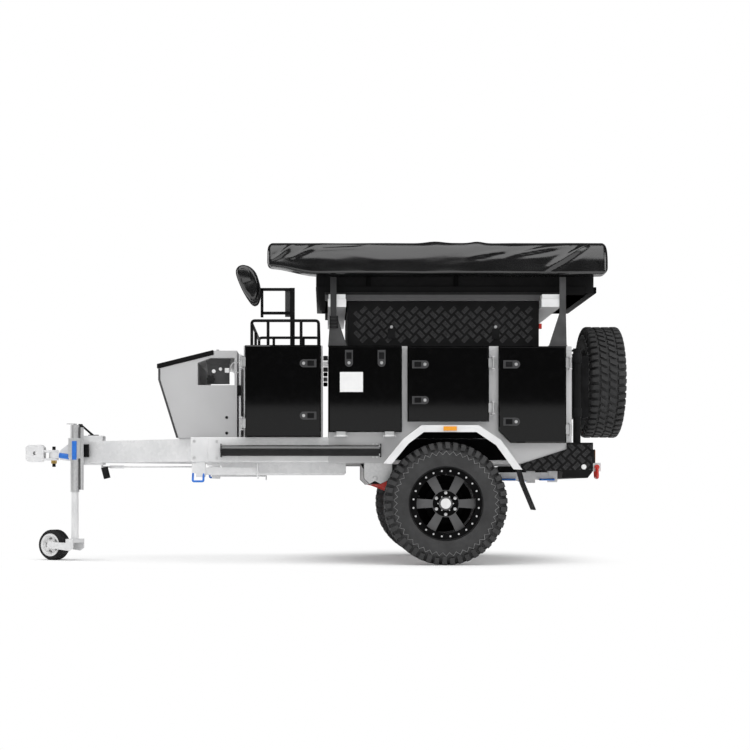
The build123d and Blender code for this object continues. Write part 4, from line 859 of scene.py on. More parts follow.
topBoxMargin = 0.026
low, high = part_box("top_box")
size = high - low
treadPlate("top_box.bars", "trailer", [
    ((low.x, high.y, low.z), (size.x, 0, 0), (0, 0, size.z), (0, 1, 0), topBoxMargin),
    ((low.x, low.y, low.z), (size.x, 0, 0), (0, 0, size.z), (0, -1, 0), topBoxMargin),
    ((high.x, low.y, low.z), (0, size.y, 0), (0, 0, size.z), (1, 0, 0), topBoxMargin),
    ((low.x, low.y, low.z), (0, size.y, 0), (0, 0, size.z), (-1, 0, 0), topBoxMargin),
])
lidSpec = {"rear": 0.747, "hingeStrip": 0.052, "rearTop": 1.4238, "frontTop": 1.3310, "margin": 0.008}
lidLow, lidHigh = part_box("nose_lid")
lidRun = Vector((lidHigh.x - lidSpec["rear"], 0, lidSpec["frontTop"] - lidSpec["rearTop"]))
lidUp = Vector((-lidRun.z, 0, lidRun.x))
lidStart = lidRun.normalized() * lidSpec["hingeStrip"]
treadPlate("nose_lid.bars", bodyOf("nose_lid"), [
    (Vector((lidSpec["rear"], lidLow.y, lidSpec["rearTop"])) + lidStart, lidRun - lidStart,
     (0, lidHigh.y - lidLow.y, 0), lidUp, lidSpec["margin"]),
])
bumperSpec = {
    "rear": -1.764, "half": 0.755, "low": 0.617, "high": 0.802, "lamps": 0.455, "topFront": -1.632,
    "topShort": 0.09, "margin": 0.006,
}
wingSpec = {
    "face": 0.767, "low": 0.621, "heel": -1.591, "heelTop": 0.755, "tip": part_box("rear_bumper")[1].x,
    "tipTop": 0.660, "tipCut": 0.026, "edge": 0.006, "over": 0.05,
}


def wingOutlines():
    # the upright part behind, and the toe that tapers to the front
    spec = wingSpec
    rear, top = bumperSpec["rear"] + spec["edge"], bumperSpec["high"] - 2 * spec["edge"]
    heel, tip, low = spec["heel"], spec["tip"], spec["low"]
    return [
        [(rear, low), (rear, top), (heel, top), (heel, low)],
        [(heel, low), (heel, spec["heelTop"]), (tip, spec["tipTop"]), (tip - spec["tipCut"], low)],
    ]


def wingFace(sign):
    # the lattice starts below the wing and ends above it
    spec, rear = wingSpec, bumperSpec["rear"]
    tall = bumperSpec["high"] - spec["low"] + 2 * spec["over"]
    corner = (rear, sign * spec["face"], spec["low"] - spec["over"])
    return corner, (0, 0, tall), (spec["tip"] - rear, 0, 0), (0, sign, 0), -spec["over"]


def bumperFaces():
    # between the lamps, and on top
    spec = bumperSpec
    rear, half, lamps, low, high = (spec[key] for key in ("rear", "half", "lamps", "low", "high"))
    return [
        ((rear, -lamps, low), (0, 2 * lamps, 0), (0, 0, high - low), (-1, 0, 0), spec["margin"]),
        ((rear, -half, high), (0, 2 * half - spec["topShort"], 0), (spec["topFront"] - rear, 0, 0), (0, 0, 1),
         spec["margin"]),
    ]


wingCuts = [(wingFace(sign), wingOutlines()) for sign in (1, -1)]
treadPlate("rear_bumper.bars", "trailer", bumperFaces(), wingCuts)
print("tread plate laid")


# soft covers: closed forms along X, swollen, wrinkled and folded
def wrinkle(x, a, b, spec, finer=2.3, apart=(7, 0, 0), deepShare=0.7):
    # ridged folds that run along the cover, deep ones and finer ones
    place = Vector((x * spec["stretch"], a, b)) * spec["scale"]
    deep, fine = abs(noise.noise(place)), abs(noise.noise(place * finer + Vector(apart)))
    return spec["wrinkle"] * (1 - 2 * (deepShare * deep + (1 - deepShare) * fine))


def softTube(name, spec, surface, finish):
    # surface(share along, turn) gives a point; both ends are closed
    stations, around = spec["stations"], spec["around"]
    shape, rings = bmesh.new(), []
    for i in range(stations + 1):
        share = i / stations
        share -= spec["endCrowd"] * math.sin(math.tau * share) / math.tau
        rings.append([shape.verts.new(surface(share, math.tau * j / around)) for j in range(around)])
    for before, after in zip(rings, rings[1:]):
        joinRings(shape, before, after)
    for ring in (rings[0], rings[-1]):
        middle = shape.verts.new(sum((v.co for v in ring), Vector()) / around)
        for j in range(around):
            shape.faces.new((ring[j - 1], ring[j], middle))
    recalc(shape)
    return newPiece(name, shape, "trailer", finish, 70)


def roundedSection(turn, power, lowPower):
    # superellipse of half width 1 and half height 1, squarer below
    c, s = math.cos(turn), math.sin(turn)
    bend = 2 / (power if s > 0 else lowPower)
    return math.copysign(abs(c) ** bend, c), math.copysign(abs(s) ** bend, s)


def endRound(x, low, high, length):
    # 0 at both ends, rising along a quarter circle to 1
    share = min(min(x - low, high - x) / length, 1)
    return math.sqrt(max(1 - (1 - share) ** 2, 0))


awningSpec = {
    "stations": 320, "around": 96, "endCrowd": 0.75, "power": 2.2, "lowPower": 4.0, "widest": -0.76,
    "endLength": 0.035, "endShare": 0.55, "raised": 0.022, "inset": 0.006, "sunk": 0.004, "bulge": 0.008,
    "foldFrom": 0.02, "clear": 0.0005, "wrinkle": 0.0040, "scale": 5.5, "stretch": 0.28,
    "noseLift": (0.05, 0.36, 0.05),
    "humps": [(-0.73, 0.07, 0.010), (-1.005, 0.05, 0.010)],
    # folds on the outer face: start (x, z), end (x, z), depth, half width
    "folds": [
        ((-1.44, 1.925), (-1.74, 2.085), 0.020, 0.026), ((-1.18, 2.010), (-1.62, 2.080), 0.012, 0.022),
        ((-0.92, 2.000), (-1.22, 2.050), 0.008, 0.020), ((0.20, 2.095), (0.36, 1.975), 0.014, 0.022),
        ((0.04, 2.085), (0.24, 2.000), 0.010, 0.022), ((-0.30, 2.070), (0.10, 2.055), 0.006, 0.016),
    ],
}
awnLow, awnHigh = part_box("awning_bag")
awnMiddle, awnHalf = (awnLow + awnHigh) / 2, (awnHigh - awnLow) / 2


def foldAt(folds, x, z):
    # a ridge with a groove beside it, fading towards both ends
    total = 0
    for (x0, z0), (x1, z1), depth, half in folds:
        run = Vector((x1 - x0, z1 - z0))
        step = Vector((x - x0, z - z0))
        share = step.dot(run) / run.length_squared
        if -0.1 < share < 1.1:
            off = (step - run * share).length / half
            side = 1 if run.x * step.y - run.y * step.x > 0 else -1
            fade = math.sin(math.pi * min(max(share, 0), 1)) ** 0.6
            ridge = 0.35 + 0.65 * math.cos(off * 2.4 * side + 0.5)
            total += depth * fade * math.exp(-(off ** 2)) * ridge
    return total


def awningSurface(share, turn):
    spec = awningSpec
    x = awnLow.x + share * 2 * awnHalf.x
    swell = endRound(x, awnLow.x, awnHigh.x, spec["endLength"]) * (1 - spec["endShare"]) + spec["endShare"]
    y, z = roundedSection(turn, spec["power"], spec["lowPower"])
    z = spec["widest"] + z * (1 - spec["widest"] if z > 0 else 1 + spec["widest"])
    y, z = y * (awnHalf.y - spec["inset"]), z * (awnHalf.z - spec["inset"])
    crease = wrinkle(x, y * 2, z * 2, spec) - spec["sunk"]
    if y > spec["foldFrom"]:
        crease += foldAt(spec["folds"], x, awnMiddle.z + z)
    away = Vector((y, z)).normalized()
    y, z = y * swell + away.x * crease, z * swell + away.y * crease
    start, end, lift = spec["noseLift"]
    if z < 0:
        z += lift * smoothstep(start, end, x) * -z / awnHalf.z
    else:
        for place, half, rise in spec["humps"]:
            z += rise * math.exp(-(((x - place) / half) ** 2)) * z / awnHalf.z
    y = max(min(y, awnHalf.y + spec["bulge"]), -awnHalf.y)
    z += spec["raised"] * (1 + z / awnHalf.z) / 2
    return (x, awnMiddle.y + y, max(awnMiddle.z + z, awnLow.z + spec["clear"]))


awning = softTube("awning.bag", awningSpec, awningSurface, "awningVinyl")
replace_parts(awning, "awning_bag")

tentSpec = {
    "stations": 220, "around": 160, "endCrowd": 0.8, "power": 9.0, "lowPower": 60.0, "endLength": 0.07,
    "side": 2.095, "wrinkle": 0.009, "scale": 2.6, "stretch": 1.6, "sag": 0.012, "x": (-1.80, 0.06),
    "endDrop": 0.14, "endNarrow": 0.03, "inset": (0.010, 0.008), "sunk": 0.006, "boardIn": 0.03,
}
tentLow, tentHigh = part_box("roof_tent")
tentMiddle, tentHalf = (tentLow + tentHigh) / 2, (tentHigh - tentLow) / 2


def tentSurface(share, turn):
    spec = tentSpec
    rear, front = spec["x"]
    x = rear + share * (front - rear)
    fullness = endRound(x, rear, front, spec["endLength"])
    y, z = roundedSection(turn, spec["power"], spec["lowPower"])
    crease = wrinkle(x, y * 0.6, z * 0.3, spec)
    up = (z + 1) / 2
    tall = (spec["side"] - tentLow.z - spec["inset"][1]) * (1 - spec["endDrop"] * (1 - fullness))
    crown = (tentHigh.z - spec["side"]) * (1 - y * y) * math.sqrt(fullness)
    sag = spec["sag"] * math.sin(math.pi * share * 3) ** 2
    wide = tentHalf.y * (1 - spec["endNarrow"] * (1 - fullness)) - spec["inset"][0]
    y = y * wide + math.copysign(min(crease, spec["wrinkle"]) * math.sin(math.pi * up) ** 0.5, y)
    z = up * tall + up ** 4 * (max(crown - sag, 0) + crease * 0.8 - spec["sunk"])
    return (x, tentMiddle.y + y, tentLow.z + z)


tent = softTube("roof_tent.cover", tentSpec, tentSurface, "tentCanvas")
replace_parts(tent, "roof_tent")
baseLow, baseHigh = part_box("tent_base")
baseRear = (tentSpec["x"][0] + tentSpec["boardIn"], baseLow.y, baseLow.z)
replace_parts(fitting("tent_base.board", boxes((baseRear, baseHigh)), "deepBlack", edge=0.003), "tent_base")

# hem of the tent cover: hangs deep round the front end, shallow along the left side
hemSpec = {
    "path": [
        (0.0615, -0.55), (0.0615, 0.580), (0.040, 0.6035), (-0.012, 0.6035), (-0.060, 0.6035),
        (-1.77, 0.6035),
    ],
    "deepTo": 3, "deep": 1.678, "rise": 0.105, "shallow": 1.792, "top": 1.850, "step": 0.03, "rows": 10,
    "wave": 0.006, "waveScale": (9, 1.5), "calm": 0.4, "lean": 0.042, "leanFrom": 0.06,
}
hemRuns = list(zip(hemSpec["path"], hemSpec["path"][1:]))


def hemLow(count, y):
    # the front drop gets shorter away from the left corner
    spec = hemSpec
    if count >= spec["deepTo"]:
        return spec["shallow"]
    return spec["deep"] + spec["rise"] * (spec["path"][1][1] - y) * (count == 0)


def hemColumn(count, place, away):
    # points from the top down, swaying more towards the free edge
    spec = hemSpec
    deep, drop = count < spec["deepTo"], hemLow(count, place.y) - spec["top"]
    across, down = spec["waveScale"]
    for row in range(spec["rows"] + 1):
        share = row / spec["rows"]
        sway = noise.noise((place.x * across, place.y * across, share * down)) * spec["wave"] * share
        point = place + away * (sway if deep else abs(sway) * spec["calm"])
        point.x -= spec["lean"] * share ** 2 * deep * smoothstep(-spec["leanFrom"], spec["leanFrom"], place.x)
        yield (point.x, point.y, spec["top"] + drop * share)


def hemShape(shape):
    columns = []
    for count, (start, end) in enumerate(hemRuns):
        start, end = Vector((*start, 0)), Vector((*end, 0))
        steps = max(int((end - start).length / hemSpec["step"]), 1)
        away = Vector((end.y - start.y, start.x - end.x, 0)).normalized()
        for k in range(steps):
            points = hemColumn(count, start.lerp(end, k / steps), away)
            columns.append([shape.verts.new(point) for point in points])
    for before, after in zip(columns, columns[1:]):
        for row in range(hemSpec["rows"]):
            shape.faces.new((before[row], after[row], after[row + 1], before[row + 1]))


hem = fitting("roof_tent.hem", hemShape, "tentCanvas", smoothAngle=60)
hemLengths = [math.dist(start, end) for start, end in hemRuns]
hemDrops = [
    hemSpec["top"] - (hemLow(count, start[1]) + hemLow(count, end[1])) / 2
    for count, (start, end) in enumerate(hemRuns)
]
sum(length * drop for length, drop in zip(hemLengths, hemDrops))

bagSpec = {
    "half": 0.146, "round": 0.036, "puff": 0.0048, "sunk": 0.9, "scale": 8.0, "finer": 2.7, "cutFrom": 0.02,
    "corners": [
        (0.515, 1.805), (0.559, 1.861), (0.603, 1.944), (0.624, 2.012), (0.612, 2.050), (0.577, 2.066),
        (0.525, 2.052), (0.482, 2.006), (0.459, 1.925), (0.462, 1.850), (0.480, 1.808),
    ],
    "pocket": [(0.600, 2.028), (0.534, 2.042), (0.512, 1.948), (0.574, 1.930)],
    "pocketOut": (-0.020, 0.010),
}
strapSpec = {
    "thick": 0.0025, "sunk": 0.004, "half": 0.0175, "tentX": (-0.29, -0.875), "below": 0.03, "short": 0.02,
    "bagY": (-0.07, 0.07), "bagOut": 1.02,
}


def smoothLoop(corners, cuts):
    # closed curve through the corners
    points = [Vector(corner) for corner in corners]
    out = []
    for k, here in enumerate(points):
        before, after, beyond = points[k - 1], points[(k + 1) % len(points)], points[(k + 2) % len(points)]
        square = 2 * before - 5 * here + 4 * after - beyond
        cube = 3 * here - before - 3 * after + beyond
        for cut in range(cuts):
            t = cut / cuts
            out.append((2 * here + (after - before) * t + square * t * t + cube * t ** 3) / 2)
    return out


bagOutline = smoothLoop(bagSpec["corners"], 3)
bagMiddle = sum(bagOutline, Vector((0, 0))) / len(bagOutline)


def bagShape(shape):
    spec = bagSpec
    addPrism(shape, bagOutline, -spec["half"], spec["half"])
    ease(shape, spec["round"], 4)
    bmesh.ops.triangulate(shape, faces=[f for f in shape.faces if len(f.verts) > 4])
    long = [e for e in shape.edges if e.calc_length() > spec["cutFrom"]]
    bmesh.ops.subdivide_edges(shape, edges=long, cuts=5, use_grid_fill=True)
    shape.normal_update()
    for vert in shape.verts:
        place = vert.co * spec["scale"]
        dent = noise.noise(place) + 0.5 * noise.noise(place * spec["finer"])
        vert.co += vert.normal * (dent - spec["sunk"]) * spec["puff"]


def tentStraps(shape):
    half = strapSpec["half"]
    for x in strapSpec["tentX"]:
        for side, sign in ((tentHigh.y, 1), (tentLow.y, -1)):
            y0, y1 = sorted((side - sign * strapSpec["sunk"], side + sign * strapSpec["thick"]))
            z0, z1 = tentLow.z - strapSpec["below"], tentSpec["side"] - strapSpec["short"]
            addBox(shape, (x - half, y0, z0), (x + half, y1, z1))


def bagStraps(shape):
    outline = [bagMiddle + (point - bagMiddle) * strapSpec["bagOut"] for point in bagOutline]
    for y in strapSpec["bagY"]:
        addPrism(shape, outline, y - strapSpec["half"], y + strapSpec["half"])


def bagPocket(shape):
    addPrism(shape, bagSpec["pocket"], *(bagSpec["half"] + out for out in bagSpec["pocketOut"]))


bag = fitting("tool_bag.cover", bagShape, "awningVinyl", smoothAngle=60)
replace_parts(bag, "tool_bag")
fitting("roof_tent.straps", tentStraps, "deepBlack", edge=0.001, slot="black_cover")
fitting("tool_bag.straps", bagStraps, "webbing", edge=0.001)
pocket = fitting("tool_bag.pocket", bagPocket, "awningVinyl", edge=0.008)
print("soft covers made")

# front rack: round bars with bent corners, and the upright frame for the bag
rackLow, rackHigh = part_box("basket")
rackSpec = {
    "bar": 0.010, "bend": 0.045, "endDrop": 0.018, "floorStep": 0.2, "floorBars": range(-2, 3),
    "posts": (0.160, 0.381), "front": 0.500, "tall": 0.192,
    "frame": [
        ((0.2135, -0.0165, 1.461), (0.2465, 0.0165, 1.917)), ((0.2465, -0.010, 1.730), (0.455, 0.010, 1.750)),
        ((0.2465, -0.010, 1.897), (0.455, 0.010, 1.917)), ((0.435, -0.010, 1.710), (0.455, 0.010, 1.917)),
    ],
}


def rackRuns():
    r, bend = rackSpec["bar"], rackSpec["bend"]
    x0, x1, side = rackLow.x + r, rackSpec["front"] - r, rackHigh.y - r
    z0, z1 = rackLow.z + r, rackLow.z + rackSpec["tall"] - r
    endTop, runs = z1 - rackSpec["endDrop"], []
    for y in (side, -side):
        runs.append(cornered([(x0, y, z0), (x0, y, z1), (x1, y, z1), (x1, y, z0)], bend))
        runs.append([(x0, y, z0), (x1, y, z0)])
        runs += [[(x, y, z0), (x, y, z1)] for x in rackSpec["posts"]]
    for x in (x0, x1):
        runs += [[(x, -side, z), (x, side, z)] for z in (z0, endTop)]
        runs.append([(x, 0, z0), (x, 0, endTop)])
    for step in rackSpec["floorBars"]:
        y = step * rackSpec["floorStep"]
        runs.append([(x0, y, z0), (x1, y, z0)])
    return runs


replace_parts(tubePiece("basket.bars", rackRuns(), rackSpec["bar"], "trailer", "powderBlack"), "basket")
fitting("basket.frame", boxes(*rackSpec["frame"]), "powderBlack", edge=0.002)
print("front rack bent")

# plain box-shaped fittings: finish, edge, corners
pairedBoxes = {
    "sillStrips": ("paleSteel", 0, [
        ((-0.013, 0.755, 0.812), (0.573, 0.757, 0.832)), ((-0.013, 0.755, 0.680), (0.573, 0.757, 0.714)),
    ]),
    "platformPlates": ("paleSteel", 0.001, [
        ((0.692, 0.755, 0.678), (0.770, 0.759, 0.834)), ((0.777, 0.755, 0.678), (0.881, 0.759, 0.834)),
    ]),
    "gapConnectors": ("softRubber", 0.004, [
        ((-0.019, 0.715, 1.270), (0.012, 0.745, 1.300)), ((-0.019, 0.715, 1.345), (0.012, 0.745, 1.375)),
    ]),
    "gapClips": ("whitePlastic", 0.003, [((-0.019, 0.715, 1.306), (0.012, 0.745, 1.338))]),
    "gapPost": ("paleSteel", 0.002, [((0.562, 0.580, 0.842), (0.576, 0.600, 1.400))]),
    "gapBrackets": ("powderBlack", 0.002, [((0.5615, 0.600, 1.120), (0.5865, 0.608, 1.190))]),
    "handleBrackets": ("whitePlastic", 0.002, [((0.792, 0.7440, 0.600), (0.878, 0.7505, 0.668))]),
    "lampLenses": ("redLens", 0.001, [
        ((-1.7885, 0.476, 0.674), (-1.7855, 0.550, 0.752)),
        ((-1.7885, 0.558, 0.674), (-1.7855, 0.632, 0.752)),
    ]),
    "lampIndicators": ("amberLens", 0.001, [((-1.7885, 0.640, 0.674), (-1.7855, 0.714, 0.752))]),
    # the beams' ends, then the blocks on them
    "beamCaps": ("paleSteel", 0.003, [
        ((-0.140, 0.7145, 1.7005), (-0.020, 0.7180, 1.7545)),
        ((-1.560, 0.7145, 1.7005), (-1.432, 0.7180, 1.7545)),
        ((-0.136, 0.616, 1.7555), (-0.024, 0.7120, 1.7850)),
        ((-1.556, 0.616, 1.7555), (-1.436, 0.7120, 1.7850)),
    ]),
    "topBoxLatches": ("powderBlack", 0.003, [
        ((-0.4685, 0.600, 1.500), (-0.4205, 0.6085, 1.568)),
        ((-1.164, 0.600, 1.500), (-1.116, 0.6085, 1.568)),
    ]),
}
singleBoxes = {
    "servicePanel": ("stemGrey", 0.001, [
        ((0.634, 0.560, 1.335), (0.794, 0.566, 1.371)), ((0.640, 0.556, 1.2), (0.790, 0.560, 1.335)),
    ]),
    "noseFitting": ("powderBlack", 0.004, [((1.655, 0.078, 0.720), (1.695, 0.105, 0.810))]),
    "jockeyPlate": ("bluePlastic", 0.003, [((1.725, 0.190, 0.700), (1.757, 0.200, 0.830))]),
    "basket.plate": ("stemGrey", 0.001, [((0.2465, -0.004, 1.7126), (0.2820, 0.004, 1.9070))]),
    "redTag": ("redPaint", 0.002, [((-1.451, 0.560, 1.570), (-1.431, 0.590, 1.604))]),
    "buckleStrap": ("webbing", 0.001, [((-0.076, 0.7242, 1.600), (-0.040, 0.7280, 1.895))]),
}
for table, mirror in ((pairedBoxes, True), (singleBoxes, False)):
    for name, (finish, edge, corners) in table.items():
        fitting(name, boxes(*corners), finish, edge=edge, mirror=mirror)

# round fittings: finish, and for each rod its ends, radius, sides and edge
pairedRods = {
    "noseGrommets": ("softRubber", [
        ((0.656, 0.618, 0.974), (0.656, 0.6235, 0.974), 0.010, 20, 0.0015),
        ((0.656, 0.618, 0.870), (0.656, 0.6235, 0.870), 0.010, 20, 0.0015),
    ]),
    "wingPlugs": ("whitePlastic", [((-1.703, 0.757, 0.642), (-1.703, 0.7702, 0.642), 0.0168, 28, 0.001)]),
    "topBoxLocks": ("zincPlate", [
        ((-0.4445, 0.598, 1.580), (-0.4445, 0.6105, 1.580), 0.010, 18, 0.0015),
        ((-1.140, 0.598, 1.580), (-1.140, 0.6105, 1.580), 0.010, 18, 0.0015),
    ]),
}
singleRods = {
    "gripSleeve": ("bluePlastic", [((1.7845, 0.150, 0.7215), (1.8530, 0.150, 0.7320), 0.0185, 24, 0.006)]),
    "plugSocket": ("softRubber", [((1.532, 0.050, 0.572), (1.552, 0.050, 0.650), 0.024, 24, 0.006)]),
}
for table, mirror in ((pairedRods, True), (singleRods, False)):
    for name, (finish, rows) in table.items():
        fitting(name, rods(*rows), finish, mirror=mirror)

# bolt groups: axis, size, on both sides, places
boltGroups = {
    "poleBolts": ((1, 0, 0), 0.007, True, [(x, 0.826, z) for x in (0.6845, -0.3595) for z in (0.722, 0.776)]),
    "plateBolts": ((0, 1, 0), 0.007, True, [(x, 0.759, z) for x in (0.712, 0.861) for z in (0.702, 0.810)]),
    "wallBolts": ((0, 1, 0), 0.006, True, [(x, 0.755, z) for x in (-0.342, -0.318) for z in (0.708, 0.790)]),
    "clampBolts": ((0, 1, 0), 0.006, False, [(1.713, 0.190, z) for z in (0.735, 0.825)]),
}
for name, (axis, size, mirror, places) in boltGroups.items():
    fitting(name, bolts(places, axis, size), "zincPlate", mirror=mirror)
print("boxes, rods and bolts fitted")

# nose box and tank: dark front edge, service bay pieces, lid latches, slanted strap
noseSpec = {
    "half": 0.620, "front": [(0.993, 0.840), (1.113, 1.225), (1.113, 1.298)], "edge": 0.014, "proud": 0.0025,
}
strapOutline = [(0.046, 0.668), (0.026, 0.668), (-0.013, 0.602), (0.007, 0.602)]
strapY = (0.5852, 0.5882)
tapSpec = {
    "taps": [
        ((0.655, 0.560, 1.290), (0.655, 0.600, 1.290), 0.016, 24, 0.003),
        ((0.700, 0.560, 1.300), (0.700, 0.588, 1.300), 0.011, 20, 0.002),
        ((0.745, 0.560, 1.285), (0.745, 0.592, 1.285), 0.013, 20, 0.002),
    ],
    "handle": ((0.640, 0.590, 1.2745), (0.670, 0.602, 1.3055)),
}
knobSpec = {
    "middle": (0.764, 0.590, 1.232), "body": (0.019, 24, 0.004), "grips": 6, "ring": 0.021,
    "grip": (0.0085, 14, 0.003), "back": 0.03, "gripBack": 0.006, "front": 0.012,
}
ringSpec = {"middle": (0.594, 0, 1.31), "radius": 0.036, "y": 0.585, "section": (0.004, 0.006), "sides": 10}
latchSpec = {
    "y": (-0.28, 0.28), "half": 0.024, "x": (1.1205, 1.1265), "z": (1.262, 1.322),
    "lockX": (1.123, 1.129), "lockZ": 1.278, "lock": (0.010, 18, 0.001),
}


def noseEdge(shape):
    front = noseSpec["front"]
    inner = [(x - noseSpec["edge"], z) for x, z in front]
    addPrism(shape, front + inner[::-1], noseSpec["half"], noseSpec["half"] + noseSpec["proud"])


def serviceTaps(shape):
    rods(*tapSpec["taps"])(shape)
    addBox(shape, *tapSpec["handle"])


def starKnob(shape):
    spec, out = knobSpec, Vector((0, 1, 0))
    middle = Vector(spec["middle"])
    addRod(shape, middle - out * spec["back"], middle + out * spec["front"], *spec["body"])
    for step in range(spec["grips"]):
        place = middle + Vector(polar(spec["ring"], 0, math.tau * step / spec["grips"]))
        addRod(shape, place - out * spec["gripBack"], place + out * spec["front"], *spec["grip"])


def ringFitting(shape):
    deep, wide = ringSpec["section"]
    turns = [math.tau * k / ringSpec["sides"] for k in range(ringSpec["sides"])]
    section = [(ringSpec["radius"] + deep * math.cos(a), ringSpec["y"] + wide * math.sin(a)) for a in turns]
    addLathe(shape, section, 40)
    bmesh.ops.translate(shape, vec=ringSpec["middle"], verts=shape.verts)


def lidLatches(shape):
    (x0, x1), (z0, z1) = latchSpec["x"], latchSpec["z"]
    for y in latchSpec["y"]:
        addBox(shape, (x0, y - latchSpec["half"], z0), (x1, y + latchSpec["half"], z1))
        addRod(shape, *((x, y, latchSpec["lockZ"]) for x in latchSpec["lockX"]), *latchSpec["lock"])


fitting("noseEdges", noseEdge, "stemGrey", mirror=True)
fitting("tankStrap", lambda shape: addPrism(shape, strapOutline, *strapY), "paleSteel", mirror=True)
fitting("serviceTaps", serviceTaps, "whitePlastic", edge=0.0015)
fitting("starKnob", starKnob, "softRubber")
fitting("whiteRing", ringFitting, "whitePlastic")
fitting("lidLatches", lidLatches, "latchGrey", bodyOf("nose_lid"), 0.0012)
print("nose box fitted out")

# drawbar: pale nose, blue jockey pieces, brass nut
drawbarSpec = {
    "paleFrom": 1.558, "ball": 1.915, "nutHalf": 0.022, "nut": (0.675, 0.6985), "pin": 0.0128,
    "collarTo": 1.7125, "clamp": (0.70, 0.86), "gripFrom": 1.7835, "leverGrip": 1.70,
}
mastCrank = {
    "rod": ((1.743, 0.150, 0.941), (1.743, 0.150, 0.953), 0.012, 20, 0.002),
    "arm": ((1.737, 0.144, 0.947), (1.800, 0.156, 0.953)),
}


def onNut(c):
    low, high = drawbarSpec["nut"]
    return abs(c.x - drawbarSpec["ball"]) < drawbarSpec["nutHalf"] and low < c.z < high


def onBallPin(c):
    return math.hypot(c.x - drawbarSpec["ball"], c.y) < drawbarSpec["pin"]


def onCollars(c):
    low, high = drawbarSpec["clamp"]
    return c.x < drawbarSpec["collarTo"] and (c.z < low or c.z > high)


def crankShape(shape):
    addRod(shape, *mastCrank["rod"])
    addBox(shape, *mastCrank["arm"])


for name, finish in (("jockey_mast", "zincPlate"), ("jockey_leg", "paleSteel"), ("brake_rod", "zincPlate")):
    shells[name].data.materials[0] = finishes[finish]
for name, finish, test in (
    ("drawbar", "paleSteel", lambda c: c.x > drawbarSpec["paleFrom"]),
    ("coupling_head", "brassNut", onNut),
    ("coupling_head", "powderBlack", onBallPin),
    ("jockey_mast", "stemGrey", onCollars),
    ("jockey_mast", "bluePlastic", lambda c: c.x > drawbarSpec["gripFrom"]),
    ("handbrake_lever", "softRubber", lambda c: c.x > drawbarSpec["leverGrip"]),
):
    paintWhere(shells[name], finish, test)
fitting("mastCrank", crankShape, "zincPlate", edge=0.001)
print("drawbar fitted out")

# stabiliser legs: blue pull handles
handleSpec = {
    "bar": 0.007, "bend": 0.018, "front": (0.870, 0.800), "frontY": (0.742, 0.770), "frontTop": 0.606,
    "drop": {"left": 0.547, "right": 0.585}, "rear": ((-1.270, -1.190), (-1.530, -1.440)),
    "rearY": (0.578, 0.606), "rearZ": 0.560,
}


def handleRun(sign, xs, ys, top, bottom):
    # in at one end, along the outside, and back in
    (x0, x1), (y0, y1) = xs, (sign * y for y in ys)
    return cornered([(x0, y0, top), (x0, y1, bottom), (x1, y1, bottom), (x1, y0, top)], handleSpec["bend"])


for side, sign in bothSides:
    spec = handleSpec
    front = [handleRun(sign, spec["front"], spec["frontY"], spec["frontTop"], spec["drop"][side])]
    rear = [handleRun(sign, xs, spec["rearY"], spec["rearZ"], spec["rearZ"]) for xs in spec["rear"]]
    tubePiece(f"front_leg_{side}.handle", front, spec["bar"], "trailer", "bluePlastic")
    tubePiece(f"rear_leg_{side}.handles", rear, spec["bar"], bodyOf(f"rear_leg_{side}"), "bluePlastic")

# suspension, and painted shade in the wheel wells: deep black discs behind the rims and deep black sheets
# inside the arches
armSpec = {"pivot": (-0.334, 0.567), "pivotRadius": 0.0165, "blackFrom": 0.60}
wellShadeSpec = {
    "axle": (-0.786, 0.7925, 0.4015),
    # outline of the painted-shade disc behind each rim, about the axle
    "plate": [
        (0.131, -0.0925), (0.180, -0.0925), (0.186, -0.082), (0.186, -0.072), (0.182, -0.072),
        (0.131, -0.0805),
    ],
    "liner": ((-1.272, 0.5856, 0.690), (-0.384, 0.5885, 0.8315)),
}


def reslot(name, finish):
    shells[name].data.materials[0] = finishes[finish]


def onPivot(c):
    return math.dist((c.x, c.z), armSpec["pivot"]) < armSpec["pivotRadius"]


def shadeDiscShape(shape):
    addLathe(shape, wellShadeSpec["plate"], 64)
    bmesh.ops.translate(shape, vec=wellShadeSpec["axle"], verts=shape.verts)


reslot("arm_hangers", "powderBlack")
paintWhere(shells["arm_hangers"], "zincPlate", onPivot)
paintWhere(shells["trailing_arms"], "powderBlack", lambda c: abs(c.y) > armSpec["blackFrom"])
# a deep black disc behind each rim fills its spoke windows as painted shade
fitting("rimShadeDiscs", shadeDiscShape, "deepBlack", mirror=True, slot="black_steel")
# a deep black sheet inside each arch hides the chassis rail as painted shade
fitting("archShadeSheets", boxes(wellShadeSpec["liner"]), "deepBlack", edge=0.001, mirror=True, slot="black_rubber")
print("legs and brakes fitted out")

# mudguards: bright lip; body floor: top painted deep black as shade in the wheel wells; rear end; pole tubes
# with their lower half painted dark as shade
rearSpec = {"lip": 0.923, "floorTop": 0.833, "plateTo": -1.7655}
reslot("tail_lamps", "softRubber")
for name, finish in (("pole_tubes", "tubeBlack"), ("rack_brackets", "stemGrey")):
    shells[name].data.materials[0] = finishes[finish]
tubeLow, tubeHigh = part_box("pole_tubes")
paintWhere(shells["mudguards"], "paleSteel", lambda c: abs(c.y) > rearSpec["lip"])
# faces above the floor line, seen up inside the wheel arches, are painted deep black as painted shade
paintWhere(shells["body_floor"], "deepBlack", lambda c: c.z > rearSpec["floorTop"])
paintWhere(shells["rear_bumper"], "whitePlastic", lambda c: c.x < rearSpec["plateTo"])
# the pole tubes' lower half is painted dark as painted shade, where it would reflect the pale floor
paintWhere(shells["pole_tubes"], "softRubber", lambda c: c.z < (tubeLow.z + tubeHigh.z) / 2)

